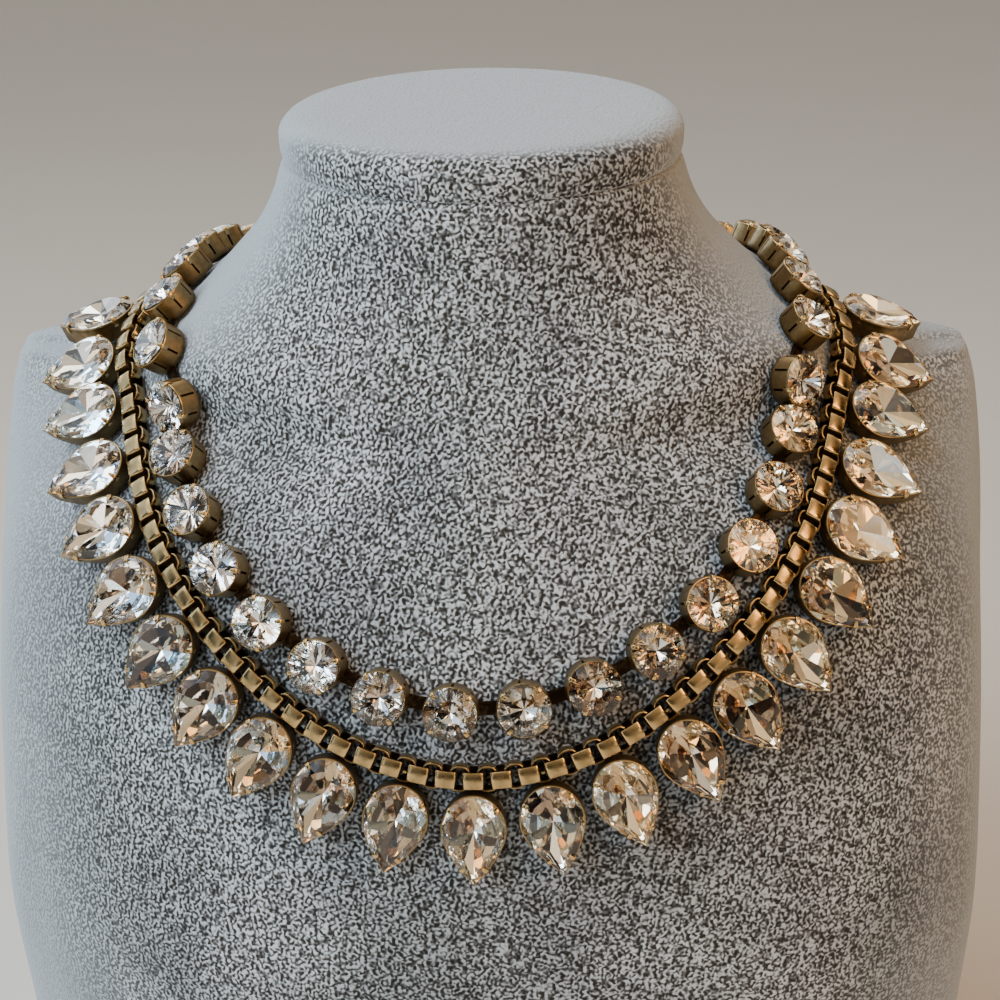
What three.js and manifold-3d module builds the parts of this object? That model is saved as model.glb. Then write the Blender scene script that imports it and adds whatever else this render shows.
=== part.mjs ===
// A two-strand crystal tennis necklace on a plain velvet neck bust.
// Millimetres, +Z up, the wearer's front towards -Y, origin under the middle of the bounding box.

import * as THREE from 'three';
import * as BufferGeometryUtils from 'three/addons/utils/BufferGeometryUtils.js';
import Module from 'manifold-3d';

const wasm = await Module();
wasm.setup();

// ---- driving dimensions ----
const BUST_HEIGHT = 205;
const NECK_AXIS_Y = 6.95; // the neck's axis stands this far behind the middle of the box
const RING_SIDES = 32;

// Horizontal sections of the bust, from the top disc down.
// drop: below the top; half: half width; side, front, back: y of the widest point, the front and the back;
// bow, tail: how square the front half and the back half are (2 is an ellipse, less is pointed).
const BUST_SECTIONS = [
  { drop: 0.0, half: 31.0, side: 0, front: -26.5, back: 26.5, bow: 2, tail: 2 },
  { drop: 0.9, half: 33.4, side: 0, front: -28.9, back: 28.9, bow: 2, tail: 2 },
  { drop: 2.8, half: 34.8, side: 0, front: -30.2, back: 30.2, bow: 2, tail: 2 },
  { drop: 5.2, half: 34.7, side: 0, front: -30.1, back: 30.1, bow: 2, tail: 2 },
  { drop: 7.0, half: 34.3, side: 0, front: -29.7, back: 29.7, bow: 2, tail: 2 },
  { drop: 8.4, half: 34.8, side: 0, front: -30.0, back: 30.2, bow: 2, tail: 2 },
  { drop: 14, half: 36.5, side: 0, front: -30.4, back: 30.9, bow: 2, tail: 2 },
  { drop: 20, half: 39.6, side: 1, front: -30.7, back: 32.5, bow: 2, tail: 2.1 },
  { drop: 26, half: 44.4, side: 3, front: -31.7, back: 36.0, bow: 2.05, tail: 2.3 },
  { drop: 31, half: 49.0, side: 5, front: -32.9, back: 41.0, bow: 2.15, tail: 2.5 },
  { drop: 35, half: 54.0, side: 8, front: -34.3, back: 46.0, bow: 2.25, tail: 2.6 },
  { drop: 39, half: 60.5, side: 12, front: -36.2, back: 50.0, bow: 2.25, tail: 2.5 },
  { drop: 43, half: 67.5, side: 15, front: -38.6, back: 51.8, bow: 2.0, tail: 2.1 },
  { drop: 46.3, half: 76, side: 16.5, front: -40.9, back: 52.6, bow: 1.66, tail: 1.9 },
  { drop: 48.6, half: 84.5, side: 17.5, front: -42.6, back: 53.0, bow: 1.47, tail: 1.8 },
  { drop: 51, half: 89, side: 18, front: -44.4, back: 53.4, bow: 1.43, tail: 1.8 },
  { drop: 57, half: 91, side: 17, front: -48.4, back: 53.7, bow: 1.55, tail: 2.0 },
  { drop: 66, half: 92.5, side: 12, front: -53.0, back: 53.6, bow: 1.74, tail: 2.1 },
  { drop: 76, half: 93.8, side: 6, front: -56.8, back: 53.2, bow: 1.85, tail: 2.2 },
  { drop: 86, half: 94.6, side: 1, front: -60.1, back: 52.8, bow: 1.85, tail: 2.2 },
  { drop: 98, half: 95.2, side: -3, front: -62.7, back: 52.4, bow: 1.88, tail: 2.2 },
  { drop: 115, half: 95.8, side: -4, front: -65.2, back: 52.0, bow: 1.97, tail: 2.2 },
  { drop: 140, half: 96.5, side: -4, front: -66.5, back: 51.5, bow: 2.1, tail: 2.2 },
  { drop: 172, half: 95.4, side: -4, front: -67.0, back: 51.0, bow: 1.95, tail: 2.2 },
  { drop: 203, half: 94.4, side: -4, front: -67.0, back: 50.5, bow: 1.9, tail: 2.2 },
  { drop: 205, half: 93.0, side: -4, front: -65.6, back: 49.1, bow: 1.9, tail: 2.2 },
];

// Half widths of the crisp side edges, by drop below the top: at the edge's middle, and at its two corners.
const SIDE_EDGES = new Map([
  [43, { middle: 67.5, corner: 66 }],
  [46.3, { middle: 86, corner: 77 }],
  [48.6, { middle: 88.8, corner: 86.6 }],
  [51, { middle: 89.9, corner: 88.4 }],
  [57, { middle: 91.2, corner: 89.9 }],
  [66, { middle: 91.7, corner: 90.1 }],
  [76, { middle: 91.4, corner: 90.0 }],
  [86, { middle: 90.6, corner: 89.8 }],
  [98, { middle: 90.4, corner: 89.8 }],
  [115, { middle: 90.7, corner: 90.2 }],
  [140, { middle: 91.0, corner: 90.5 }],
  [172, { middle: 90.8, corner: 90.3 }],
  [203, { middle: 90.4, corner: 89.9 }],
  [205, { middle: 89.0, corner: 88.5 }],
]);

const CLEARANCE = 0.35; // between one piece and the next
const SKIN_GAP = 0.5; // between the bust and what lies on it
const FLATNESS = 0.02; // facets within this of one plane are one facet

// The inner strand: round stones in tall cups on flat strips.
const CUP = { count: 34, pitch: 11.35, radius: 4.45, wall: 4.3, phase: -3.4, sides: 10 };
const ROUND_STONE = { table: 2.35, crown: 1.15 };
const STRIP = { width: 2.6, thick: 0.5, height: 0.75 };

// The outer strand: a box chain of square bands, with pear drops.
const LINK = {
  pitch: 2.21,
  eachSide: 56,
  height: 2.3,
  wall: 0.45,
  broadBand: 2.45,
  edgeBand: 2.1,
  broadLength: 2.95,
  broadDepth: 3.5,
  edgeLength: 3.15,
  edgeWidth: 3.8,
};
const PEAR = {
  count: 23,
  everyHalfLinks: 5,
  length: 15.0,
  width: 10.5,
  shoulder: 0.4, // share of the length from the round end to the widest place
  bulge: 1.65,
  wall: 0.35,
  depth: 3.6,
  floor: 0.8,
  hang: 9.4, // least distance from the chain's middle line to the middle of the drop
  lean: THREE.MathUtils.degToRad(8), // the face looks up from the chest by this
  frontal: 1.0, // how far a drop faces the front rather than square to the chest
  frontalFade: 1.3, // how soon that ends where the chest turns up into the shoulder
  swing: 0.12, // share of the turn from square-to-the-chain to straight down
  step: 0.1, // by which a drop is moved out until it clears the chain
  points: 10,
};

const STONE_GAP = 0.22; // round a drop's stone in its setting
const PEAR_CUT = { crown: 1.4, table: 0.64, tableShift: -0.25, culet: 0.1, culetShift: -1.0 };
// Hooks from settings into links: corners measured outwards from the link's middle and up from it.
const HOOK = {
  thick: 0.4,
  width: 0.6,
  footInset: 0.6,
  broad: [{ out: 0, up: 0.9 }, { out: 0, up: 0 }, { out: 1.7, up: -0.1 }],
  edge: [{ out: 0.8, up: -0.1 }, { out: 0.8, up: -1.6 }, { out: 2.15, up: -1.6 }],
};
// Claws folded over a drop's stone, on these edges of its outline counted from the tip.
// Its root is sunk into the wall, between two shares of the wall's thickness.
const CLAW = {
  edges: [0, 3, 6, 9],
  width: 1.1,
  tipWidth: 0.74,
  reach: 1.1,
  rise: 0.85,
  root: 0.1,
  rootFrom: 0.15,
  rootTo: 0.65,
};
const EYE = { length: 2.4, width: 3.9, thick: 0.8 };
const CLASP = {
  length: 12,
  width: 5,
  thick: 3,
  pocket: 3,
  pocketWidth: 3.6,
  pocketThick: 1.4,
  tailGap: 0.8, // from the pocket's end to the strip that lies in it
};

// Where the strands run over the bust, right half from the front to the back; the left mirrors it.
const CUP_ROUTE = [
  { x: 0, y: -64.3, z: 121.2 },
  { x: 17.2, y: -61.8, z: 123.8 },
  { x: 36.6, y: -52.9, z: 133.8 },
  { x: 49.3, y: -39.8, z: 148.6 },
  { x: 55.8, y: -22.8, z: 163.5 },
  { x: 56.6, y: -8, z: 171.6 },
  { x: 54.6, y: 9, z: 174.6 },
  { x: 52.4, y: 27, z: 172.6 },
  { x: 45.5, y: 45, z: 170 },
  { x: 26, y: 54.5, z: 168.6 },
  { x: 0, y: 57, z: 168 },
];
const CHAIN_ROUTE = [
  { x: 0, y: -64, z: 109.9 },
  { x: 21.5, y: -61.2, z: 114.6 },
  { x: 41.7, y: -52, z: 128 },
  { x: 53.4, y: -39.4, z: 141 },
  { x: 60.1, y: -24, z: 153.6 },
  { x: 62.4, y: -9, z: 163 },
  { x: 61.6, y: 3, z: 168 },
];

// ---- the bust as a smooth surface ----
// The angle a runs from the right side over the front, and t runs down the sections.
const SECTION_STEPS = BUST_SECTIONS.map((row, i) => {
  if (i === 0) return 0;
  const above = BUST_SECTIONS[i - 1];
  return Math.hypot(row.half - above.half, row.drop - above.drop, (row.front - above.front) / 2);
});
const SECTION_KNOTS = SECTION_STEPS.map((_, i) =>
  SECTION_STEPS.slice(0, i + 1).reduce((sum, step) => sum + step, 0));
const LAST_KNOT = SECTION_KNOTS[SECTION_KNOTS.length - 1];

// Slope of a column at row i: the parabola through the row and its two neighbours.
function columnSlope(name, i) {
  const rows = BUST_SECTIONS;
  const rise = (k) => (rows[k + 1][name] - rows[k][name]) / SECTION_STEPS[k + 1];
  if (i === 0) return rise(0);
  if (i === rows.length - 1) return rise(i - 1);
  const before = SECTION_STEPS[i];
  const after = SECTION_STEPS[i + 1];
  return (after * rise(i - 1) + before * rise(i)) / (before + after);
}
const SLOPES = BUST_SECTIONS.map((row, i) =>
  Object.fromEntries(Object.keys(row).map((name) => [name, columnSlope(name, i)])));

// The section at knot value t: every column eased between its rows by a cubic.
function sectionAt(t) {
  let i = 0;
  while (i < BUST_SECTIONS.length - 2 && t > SECTION_KNOTS[i + 1]) i += 1;
  const gap = SECTION_STEPS[i + 1];
  const s = (t - SECTION_KNOTS[i]) / gap;
  const blend = [
    (1 + 2 * s) * (1 - s) ** 2,
    s * (1 - s) ** 2 * gap,
    s * s * (3 - 2 * s),
    s * s * (s - 1) * gap,
  ];
  const section = {};
  for (const name of Object.keys(BUST_SECTIONS[0])) {
    const values = [
      BUST_SECTIONS[i][name],
      SLOPES[i][name],
      BUST_SECTIONS[i + 1][name],
      SLOPES[i + 1][name],
    ];
    section[name] = values.reduce((sum, value, k) => sum + value * blend[k], 0);
  }
  return section;
}

function pointOnSection(section, a) {
  const cos = Math.cos(a);
  const sin = Math.sin(a);
  const power = 2 / (sin > 0 ? section.bow : section.tail);
  const reach = sin > 0 ? section.front : section.back;
  return new THREE.Vector3(
    section.half * Math.sign(cos) * Math.abs(cos) ** power,
    section.side + (reach - section.side) * Math.abs(sin) ** power,
    BUST_HEIGHT - section.drop,
  );
}
const bustPoint = (t, a) => pointOnSection(sectionAt(THREE.MathUtils.clamp(t, 0, LAST_KNOT)), a);

// Steps either side of a point, along t and a, from which its normal is worked out.
const NORMAL_STEP = { t: 0.02, a: 0.0005 };
function bustNormal(t, a) {
  const around = bustPoint(t, a + NORMAL_STEP.a).sub(bustPoint(t, a - NORMAL_STEP.a));
  const down = bustPoint(t + NORMAL_STEP.t, a).sub(bustPoint(t - NORMAL_STEP.t, a));
  return around.cross(down).normalize();
}

// A coarse net of the surface, from which the search for the nearest point starts.
const NET = [];
const NET_ROWS = 110;
const NET_COLUMNS = 90;
const NET_START = 4; // rows left out on the top disc, where nothing lies
const NET_PRECISION = 0.002;
for (let row = NET_START; row <= NET_ROWS; row += 1) {
  const t = (LAST_KNOT * row) / NET_ROWS;
  const section = sectionAt(t);
  for (let column = 0; column < NET_COLUMNS; column += 1) {
    const a = (2 * Math.PI * column) / NET_COLUMNS;
    NET.push({ t, a, p: pointOnSection(section, a) });
  }
}

// Nearest point of the bust to q, its outward normal, and the height of q above it.
function nearestOnBust(q) {
  let best = NET[0];
  let least = Infinity;
  for (const knot of NET) {
    const d = knot.p.distanceToSquared(q);
    if (d < least) {
      least = d;
      best = knot;
    }
  }
  let { t, a } = best;
  let stepT = LAST_KNOT / NET_ROWS;
  let stepA = (2 * Math.PI) / NET_COLUMNS;
  while (stepT > NET_PRECISION) {
    const moves = [[stepT, 0], [-stepT, 0], [0, stepA], [0, -stepA]];
    const tries = moves.map(([dt, da]) => [t + dt, a + da, bustPoint(t + dt, a + da).distanceToSquared(q)]);
    tries.sort((one, two) => one[2] - two[2]);
    if (tries[0][2] < least) {
      [t, a, least] = tries[0];
    } else {
      stepT /= 2;
      stepA /= 2;
    }
  }
  const p = bustPoint(t, a);
  const n = bustNormal(t, a);
  return { p, n, height: q.clone().sub(p).dot(n) };
}

// ---- routes over the bust ----
const ROUTE_STEPS = { cups: 320, chain: 240 };
const fromRow = (row) => new THREE.Vector3(row.x, row.y, row.z);
const mirrored = (row) => ({ x: -row.x, y: row.y, z: row.z });

// Lays a guide curve on the bust: dense points with normals, and the length run so far at a height above it.
function layRoute(guide, samples, height) {
  const line = [];
  let run = 0;
  for (let i = 0; i <= samples; i += 1) {
    const { p, n } = nearestOnBust(guide.getPoint(i / samples));
    const raised = p.clone().addScaledVector(n, height);
    if (i > 0) run += raised.distanceTo(line[i - 1].raised);
    line.push({ p, n, raised, run });
  }
  return line;
}

// Reach either side of a point on a route, for its tangent.
const TANGENT_REACH = 1.2;

// The frame on a route at length s: foot on the bust, normal n up, tangent x along the strand, y = n x x.
function frameAt(line, s, from) {
  const total = line[line.length - 1].run;
  const at = (length) => {
    let wanted = from.zero + length;
    if (from.closed) wanted = THREE.MathUtils.euclideanModulo(wanted, total);
    let i = 1;
    while (i < line.length - 1 && line[i].run < wanted) i += 1;
    const f = (wanted - line[i - 1].run) / (line[i].run - line[i - 1].run);
    return {
      p: line[i - 1].p.clone().lerp(line[i].p, f),
      n: line[i - 1].n.clone().lerp(line[i].n, f).normalize(),
    };
  };
  const { p, n } = at(s);
  const x = at(s + TANGENT_REACH).p.sub(at(s - TANGENT_REACH).p);
  x.addScaledVector(n, -x.dot(n)).normalize();
  return { p, x, y: n.clone().cross(x), n };
}

const basis = (frame) =>
  new THREE.Matrix4().makeBasis(frame.x, frame.y, frame.n).setPosition(frame.p);

// Raises a frame off the bust until every listed corner clears it by the gap.
function liftClear(frame, corners, gap) {
  const matrix = basis(frame);
  const heights = corners.map((corner) => nearestOnBust(corner.clone().applyMatrix4(matrix)).height);
  const raise = Math.max(0, gap - Math.min(...heights));
  return { ...frame, p: frame.p.clone().addScaledVector(frame.n, raise) };
}

// ---- solids ----
function solidOf(geometry) {
  geometry.deleteAttribute('normal');
  geometry.deleteAttribute('uv');
  const merged = BufferGeometryUtils.mergeVertices(geometry, 1e-4);
  const corners = merged.index.array;
  const kept = [];
  for (let i = 0; i < corners.length; i += 3) {
    const [a, b, c] = [corners[i], corners[i + 1], corners[i + 2]];
    if (a !== b && b !== c && c !== a) kept.push(a, b, c);
  }
  return new wasm.Manifold(new wasm.Mesh({
    numProp: 3,
    vertProperties: new Float32Array(merged.attributes.position.array),
    triVerts: new Uint32Array(kept),
  }));
}

// The solid's surface, with facets that lie in one plane merged.
function geometryOf(solid) {
  const { vertProperties, triVerts } = solid.asOriginal().simplify(FLATNESS).getMesh();
  const geometry = new THREE.BufferGeometry();
  geometry.setAttribute('position', new THREE.BufferAttribute(new Float32Array(vertProperties), 3));
  geometry.setIndex(new THREE.BufferAttribute(new Uint32Array(triVerts), 1));
  return geometry;
}

const joined = (solids) => solids.reduce((sum, solid) => sum.add(solid));

// A closed body from rings of equal point count, capped flat at both ends.
// The rings run up and their points turn leftwards.
function ringBody(rings) {
  const sides = rings[0].length;
  const points = rings.flat();
  const index = [];
  for (let r = 0; r + 1 < rings.length; r += 1) {
    for (let k = 0; k < sides; k += 1) {
      const [a, b] = [r * sides + k, r * sides + ((k + 1) % sides)];
      index.push(a, b, b + sides, a, b + sides, a + sides);
    }
  }
  const top = (rings.length - 1) * sides;
  for (let k = 1; k + 1 < sides; k += 1) {
    index.push(0, k + 1, k);
    index.push(top, top + k, top + k + 1);
  }
  const geometry = new THREE.BufferGeometry().setFromPoints(points);
  geometry.setIndex(index);
  return geometry;
}

// A flat bar from one point to another, its broad face square to n.
function barSolid(from, to, n, width, thick) {
  const x = to.clone().sub(from);
  const length = x.length();
  x.normalize();
  const y = n.clone().cross(x).normalize();
  const frame = { p: from.clone().add(to).multiplyScalar(0.5), x, y, n: x.clone().cross(y) };
  return boxAt(frame, [length, width, thick], [0, 0, 0]);
}

function boxAt(frame, size, offset) {
  const box = new THREE.BoxGeometry(...size);
  box.translate(...offset);
  return solidOf(box.applyMatrix4(basis(frame)));
}

// ---- materials ----
const velvet = { color: 0x9ea2a4, roughness: 0.95, metalness: 0 };
const brass = { color: 0x8a6f3e, roughness: 0.38, metalness: 1 };
const crystal = { color: 0xe6e9ec, roughness: 0.05, metalness: 0.2 };

const necklace = new THREE.Group();
necklace.position.set(0, NECK_AXIS_Y, 0);
function addPiece(name, geometry, finish) {
  const mesh = new THREE.Mesh(geometry, new THREE.MeshStandardMaterial(finish));
  mesh.name = name;
  necklace.add(mesh);
}
const numbered = (name, i) => `${name}_${String(i + 1).padStart(2, '0')}`;

// ---- the bust ----
function bustGeometry() {
  const rings = BUST_SECTIONS.toReversed().map((row) => {
    const ring = [];
    const edge = SIDE_EDGES.get(row.drop);
    for (let k = 0; k < RING_SIDES; k += 1) {
      const point = pointOnSection(row, (-2 * Math.PI * k) / RING_SIDES);
      const fromSide = Math.min(k % (RING_SIDES / 2), RING_SIDES / 2 - (k % (RING_SIDES / 2)));
      if (edge && fromSide < 2) point.x = Math.sign(point.x) * (fromSide ? edge.corner : edge.middle);
      ring.push(point);
    }
    return ring;
  });
  return ringBody(rings);
}

// ---- the inner strand ----
const cupStations = [...CUP_ROUTE, ...CUP_ROUTE.slice(1, -1).reverse().map(mirrored)].map(fromRow);
const cupGuide = new THREE.CatmullRomCurve3(cupStations, true, 'centripetal');
const cupLine = layRoute(cupGuide, ROUTE_STEPS.cups, STRIP.height);
const cupFrom = { zero: 0, closed: true };
const MIDDLE_CUP = CUP.count / 2 - 1;

const circle = (radius, height) => Array.from({ length: CUP.sides }, (_, k) => {
  const a = (2 * Math.PI * k) / CUP.sides;
  return new THREE.Vector3(radius * Math.cos(a), radius * Math.sin(a), height);
});

const cupStation = (i) => CUP.phase + (i - MIDDLE_CUP) * CUP.pitch;
const cupFrames = Array.from({ length: CUP.count }, (_, i) =>
  liftClear(frameAt(cupLine, cupStation(i), cupFrom), circle(CUP.radius, 0), SKIN_GAP));

// A cup with its round stone: the wall, then crown facets up to the table.
function cupSolid(frame) {
  const { table, crown } = ROUND_STONE;
  const rings = [circle(CUP.radius, 0), circle(CUP.radius, CUP.wall), circle(table, CUP.wall + crown)];
  return solidOf(ringBody(rings).applyMatrix4(basis(frame)));
}

const raisedPoint = (frame, height) => frame.p.clone().addScaledVector(frame.n, height);

// The flat strip from one cup's base to the next.
function stripSolid(one, two) {
  const n = one.n.clone().add(two.n).normalize();
  const [from, to] = [one, two].map((frame) => raisedPoint(frame, STRIP.height));
  return barSolid(from, to, n, STRIP.width, STRIP.thick);
}

// ---- the outer strand ----
const chainStations = [...CHAIN_ROUTE.slice(1).reverse().map(mirrored), ...CHAIN_ROUTE].map(fromRow);
const chainGuide = new THREE.CatmullRomCurve3(chainStations, false, 'centripetal');
const chainLine = layRoute(chainGuide, ROUTE_STEPS.chain, LINK.height);
const chainHalf = chainLine[chainLine.length - 1].run / 2;
const chainFrom = { zero: chainHalf, closed: false };

// Frames of the links' middles; even links show a broad front, odd ones their edges.
const linkFrames = Array.from({ length: 2 * LINK.eachSide + 1 }, (_, i) => {
  const number = i - LINK.eachSide;
  const frame = frameAt(chainLine, number * LINK.pitch, chainFrom);
  frame.p.addScaledVector(frame.n, LINK.height);
  return { ...frame, broad: number % 2 === 0 };
});

// A square band: an outer box less an opening that runs right through it.
function bandSolid(frame, outer, opening) {
  return boxAt(frame, outer, [0, 0, 0]).subtract(boxAt(frame, opening, [0, 0, 0]));
}
function linkSolid(frame) {
  const { wall, broadBand, edgeBand, broadLength, broadDepth, edgeLength, edgeWidth } = LINK;
  if (frame.broad) {
    return bandSolid(
      frame,
      [broadLength, broadBand, broadDepth],
      [broadLength - 2 * wall, 2 * broadBand, broadDepth - 2 * wall],
    );
  }
  return bandSolid(
    frame,
    [edgeLength, edgeWidth, edgeBand],
    [edgeLength - 2 * wall, edgeWidth - 2 * wall, 2 * edgeBand],
  );
}

// The box chain hangs from an eye at each end: a loop round the last link's end bar, on a bar from the
// nearest cup beyond that end.
const CHAIN_ENDS = [[linkFrames[0], -1], [linkFrames[linkFrames.length - 1], 1]].map(([link, way]) => {
  const away = (cup) => cup.p.clone().sub(link.p);
  const beyond = cupFrames.filter((cup) => way * away(cup).dot(link.x) > 0);
  const cup = beyond.reduce((best, one) => (away(one).length() < away(best).length() ? one : best));
  return { link, cup, way };
});
function eyeSolid({ link, cup, way }) {
  const bar = link.p.clone().addScaledVector(link.x, (way * (LINK.broadLength - LINK.wall)) / 2);
  const eye = bandSolid(
    { ...link, p: bar },
    [EYE.length, EYE.width, EYE.thick],
    [EYE.length - 2 * LINK.wall, EYE.width - 2 * LINK.wall, 2 * EYE.thick],
  );
  const near = bar.addScaledVector(link.x, (way * (EYE.length - LINK.wall)) / 2);
  return eye.add(barSolid(raisedPoint(cup, LINK.height - EYE.thick), near, cup.n, EYE.thick, EYE.thick));
}

// ---- the clasp ----
// It lies midway between the last cup and the first, round the back of the neck.
const claspAt = (cupStation(CUP.count - 1) + cupStation(0) + cupLine[cupLine.length - 1].run) / 2;
const claspCorners = [[-1, -1], [-1, 0], [-1, 1], [1, -1], [1, 0], [1, 1]]
  .map(([i, j]) => new THREE.Vector3((i * CLASP.length) / 2, (j * CLASP.width) / 2, 0));
const claspFrame = liftClear(frameAt(cupLine, claspAt, cupFrom), claspCorners, SKIN_GAP);
// A plain block with a pocket in each end for the strand's last strip.
const pocketPoint = (way) => raisedPoint(claspFrame, CLASP.thick / 2)
  .addScaledVector(claspFrame.x, way * (CLASP.length / 2 - CLASP.pocket + CLASP.tailGap));
function claspSolid() {
  const { length, width, thick, pocket, pocketWidth, pocketThick } = CLASP;
  const pockets = [-1, 1].map((way) =>
    boxAt(claspFrame, [2 * pocket, pocketWidth, pocketThick], [(way * length) / 2, 0, thick / 2]));
  return boxAt(claspFrame, [length, width, thick], [0, 0, thick / 2]).subtract(joined(pockets));
}
// The strand's last strips, one from each end cup into the clasp.
function tailSolids() {
  return [[cupFrames[CUP.count - 1], -1], [cupFrames[0], 1]].map(([cup, way]) =>
    barSolid(raisedPoint(cup, STRIP.height), pocketPoint(way), cup.n, STRIP.width, STRIP.thick));
}

function cupChainGeometry() {
  const cups = cupFrames.map(cupSolid);
  const strips = cupFrames.slice(1).map((frame, i) => stripSolid(cupFrames[i], frame));
  return geometryOf(joined([...cups, ...strips, ...CHAIN_ENDS.map(eyeSolid), ...tailSolids()]));
}

// ---- the drops ----
// Outline of a pear of the given length and width: a half ellipse, then sides that draw in to the tip.
// x points at the tip, the middle of the length is the origin, and the turn runs leftwards from the tip.
function outlinePoint(turn, length, width) {
  const round = PEAR.shoulder * length;
  const taper = length - round;
  const along = Math.cos(turn);
  const y = (width / 2) * Math.sin(turn);
  if (along <= 0) return new THREE.Vector2(round * along + round - length / 2, y);
  // on the tapering half the width falls as 1 - s^bulge of the way s to the tip
  const s = (1 - Math.abs(Math.sin(turn))) ** (1 / PEAR.bulge);
  return new THREE.Vector2(taper * s + round - length / 2, y);
}
const pearOutline = (length, width) => Array.from({ length: PEAR.points }, (_, k) =>
  outlinePoint((2 * Math.PI * k) / PEAR.points, length, width));
const ringOf = (outline, height, scale = 1, shift = 0) =>
  outline.map((point) => new THREE.Vector3(point.x * scale + shift, point.y * scale, height));
const settingOutline = pearOutline(PEAR.length, PEAR.width);
// corners and edge middles of the setting's base and rim
const settingEdge = [0, PEAR.depth].flatMap((height) => {
  const ring = ringOf(settingOutline, height);
  return ring.flatMap((corner, k) => [corner, corner.clone().lerp(ring[(k + 1) % ring.length], 0.5)]);
});

// True where a corner of a drop comes too close to the box chain's square section.
function touchesChain(corner) {
  const nearest = linkFrames.reduce((best, link) =>
    (link.p.distanceToSquared(corner) < best.p.distanceToSquared(corner) ? link : best));
  const away = corner.clone().sub(nearest.p);
  return Math.abs(away.dot(nearest.y)) < LINK.edgeWidth / 2 + CLEARANCE
    && Math.abs(away.dot(nearest.n)) < LINK.broadDepth / 2 + CLEARANCE
    && Math.abs(away.dot(nearest.x)) < 2 * LINK.pitch;
}

// The drop's frame at a distance from the chain: x to the tip, n out of the face.
function pearFrameAt(hung, out, distance) {
  const { p, n } = nearestOnBust(hung.p.clone().addScaledVector(out, distance));
  // the less it lies on the shoulder, the more it turns to the front
  n.y -= PEAR.frontal * Math.max(0, 1 - PEAR.frontalFade * n.z);
  n.normalize();
  const x = p.clone().sub(hung.p);
  x.addScaledVector(n, -x.dot(n)).normalize();
  const y = n.clone().cross(x);
  // the tip is lifted a little, so the face looks up
  x.applyAxisAngle(y, -PEAR.lean);
  n.applyAxisAngle(y, -PEAR.lean);
  return liftClear({ p, x, y, n }, ringOf(settingOutline, 0), SKIN_GAP);
}

const middlePear = (PEAR.count - 1) / 2;
const pearFrames = Array.from({ length: PEAR.count }, (_, i) => {
  const number = (i - middlePear) * PEAR.everyHalfLinks;
  const hung = frameAt(chainLine, number * LINK.pitch, chainFrom);
  // outwards from the chain, swung part of the way towards straight down
  const out = hung.y.clone().negate();
  const down = new THREE.Vector3(0, 0, -1);
  down.addScaledVector(hung.n, -down.dot(hung.n)).normalize();
  const turn = Math.acos(THREE.MathUtils.clamp(out.dot(down), -1, 1));
  const side = Math.sign(out.clone().cross(down).dot(hung.n));
  out.applyAxisAngle(hung.n, side * PEAR.swing * turn);
  let distance = PEAR.hang;
  let frame = pearFrameAt(hung, out, distance);
  while (settingEdge.some((point) => touchesChain(point.clone().applyMatrix4(basis(frame))))) {
    distance += PEAR.step;
    frame = pearFrameAt(hung, out, distance);
  }
  return { ...frame, link: linkFrames[LINK.eachSide + number] };
});

// A flat bar along bent points: `side` runs across its width, and its corners are mitred.
function bentBar(points, side, width, thick) {
  const way = points.slice(1).map((point, i) => point.clone().sub(points[i]).normalize());
  const rings = points.map((point, i) => {
    const before = way[Math.max(i - 1, 0)];
    const after = way[Math.min(i, way.length - 1)];
    const mean = before.clone().add(after).normalize();
    const up = mean.clone().cross(side).normalize();
    const half = thick / 2 / before.dot(mean);
    return [[-1, -1], [1, -1], [1, 1], [-1, 1]].map(([across, out]) =>
      point.clone().addScaledVector(side, (across * width) / 2).addScaledVector(up, out * half));
  });
  return solidOf(ringBody(rings));
}

// The hook that hangs a drop: in at a broad link's open side, or under the edge of a narrow one,
// and up inside the link.
function hookSolid(frame) {
  const { link } = frame;
  const inLink = ({ out, up }) => link.p.clone().addScaledVector(link.y, -out).addScaledVector(link.n, up);
  const foot = frame.p.clone()
    .addScaledVector(frame.x, HOOK.footInset - PEAR.length / 2)
    .addScaledVector(frame.n, PEAR.floor / 2);
  const bends = (link.broad ? HOOK.broad : HOOK.edge).map(inLink);
  return bentBar([...bends, foot], link.x, HOOK.width, HOOK.thick);
}

// A claw: a three-sided wedge that stands on the rim and leans inwards over the stone's edge.
function clawSolid(edge) {
  const [start, end] = [settingOutline[edge], settingOutline[(edge + 1) % PEAR.points]];
  const at = start.clone().lerp(end, 0.5);
  const along = end.clone().sub(start).normalize();
  const inwards = new THREE.Vector2(-along.y, along.x);
  const { width, tipWidth, reach, rise, root, rootFrom, rootTo } = CLAW;
  const ring = (height, half, from, to) =>
    [[-half, from], [half, from], [0, to]].map(([side, depth]) => {
      const point = at.clone().addScaledVector(along, side).addScaledVector(inwards, depth);
      return new THREE.Vector3(point.x, point.y, height);
    });
  return solidOf(ringBody([
    ring(PEAR.depth - root, width / 2, rootFrom * PEAR.wall, rootTo * PEAR.wall),
    ring(PEAR.depth + rise, tipWidth / 2, PEAR.wall, reach),
  ]));
}

function settingGeometry(frame) {
  const inner = pearOutline(PEAR.length - 2 * PEAR.wall, PEAR.width - 2 * PEAR.wall);
  const body = solidOf(ringBody([ringOf(settingOutline, 0), ringOf(settingOutline, PEAR.depth)]));
  const room = solidOf(ringBody([ringOf(inner, PEAR.floor), ringOf(inner, PEAR.depth + 1)]));
  const open = joined([body.subtract(room), ...CLAW.edges.map(clawSolid)]);
  const cup = solidOf(geometryOf(open).applyMatrix4(basis(frame)));
  return geometryOf(cup.add(hookSolid(frame)));
}

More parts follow.
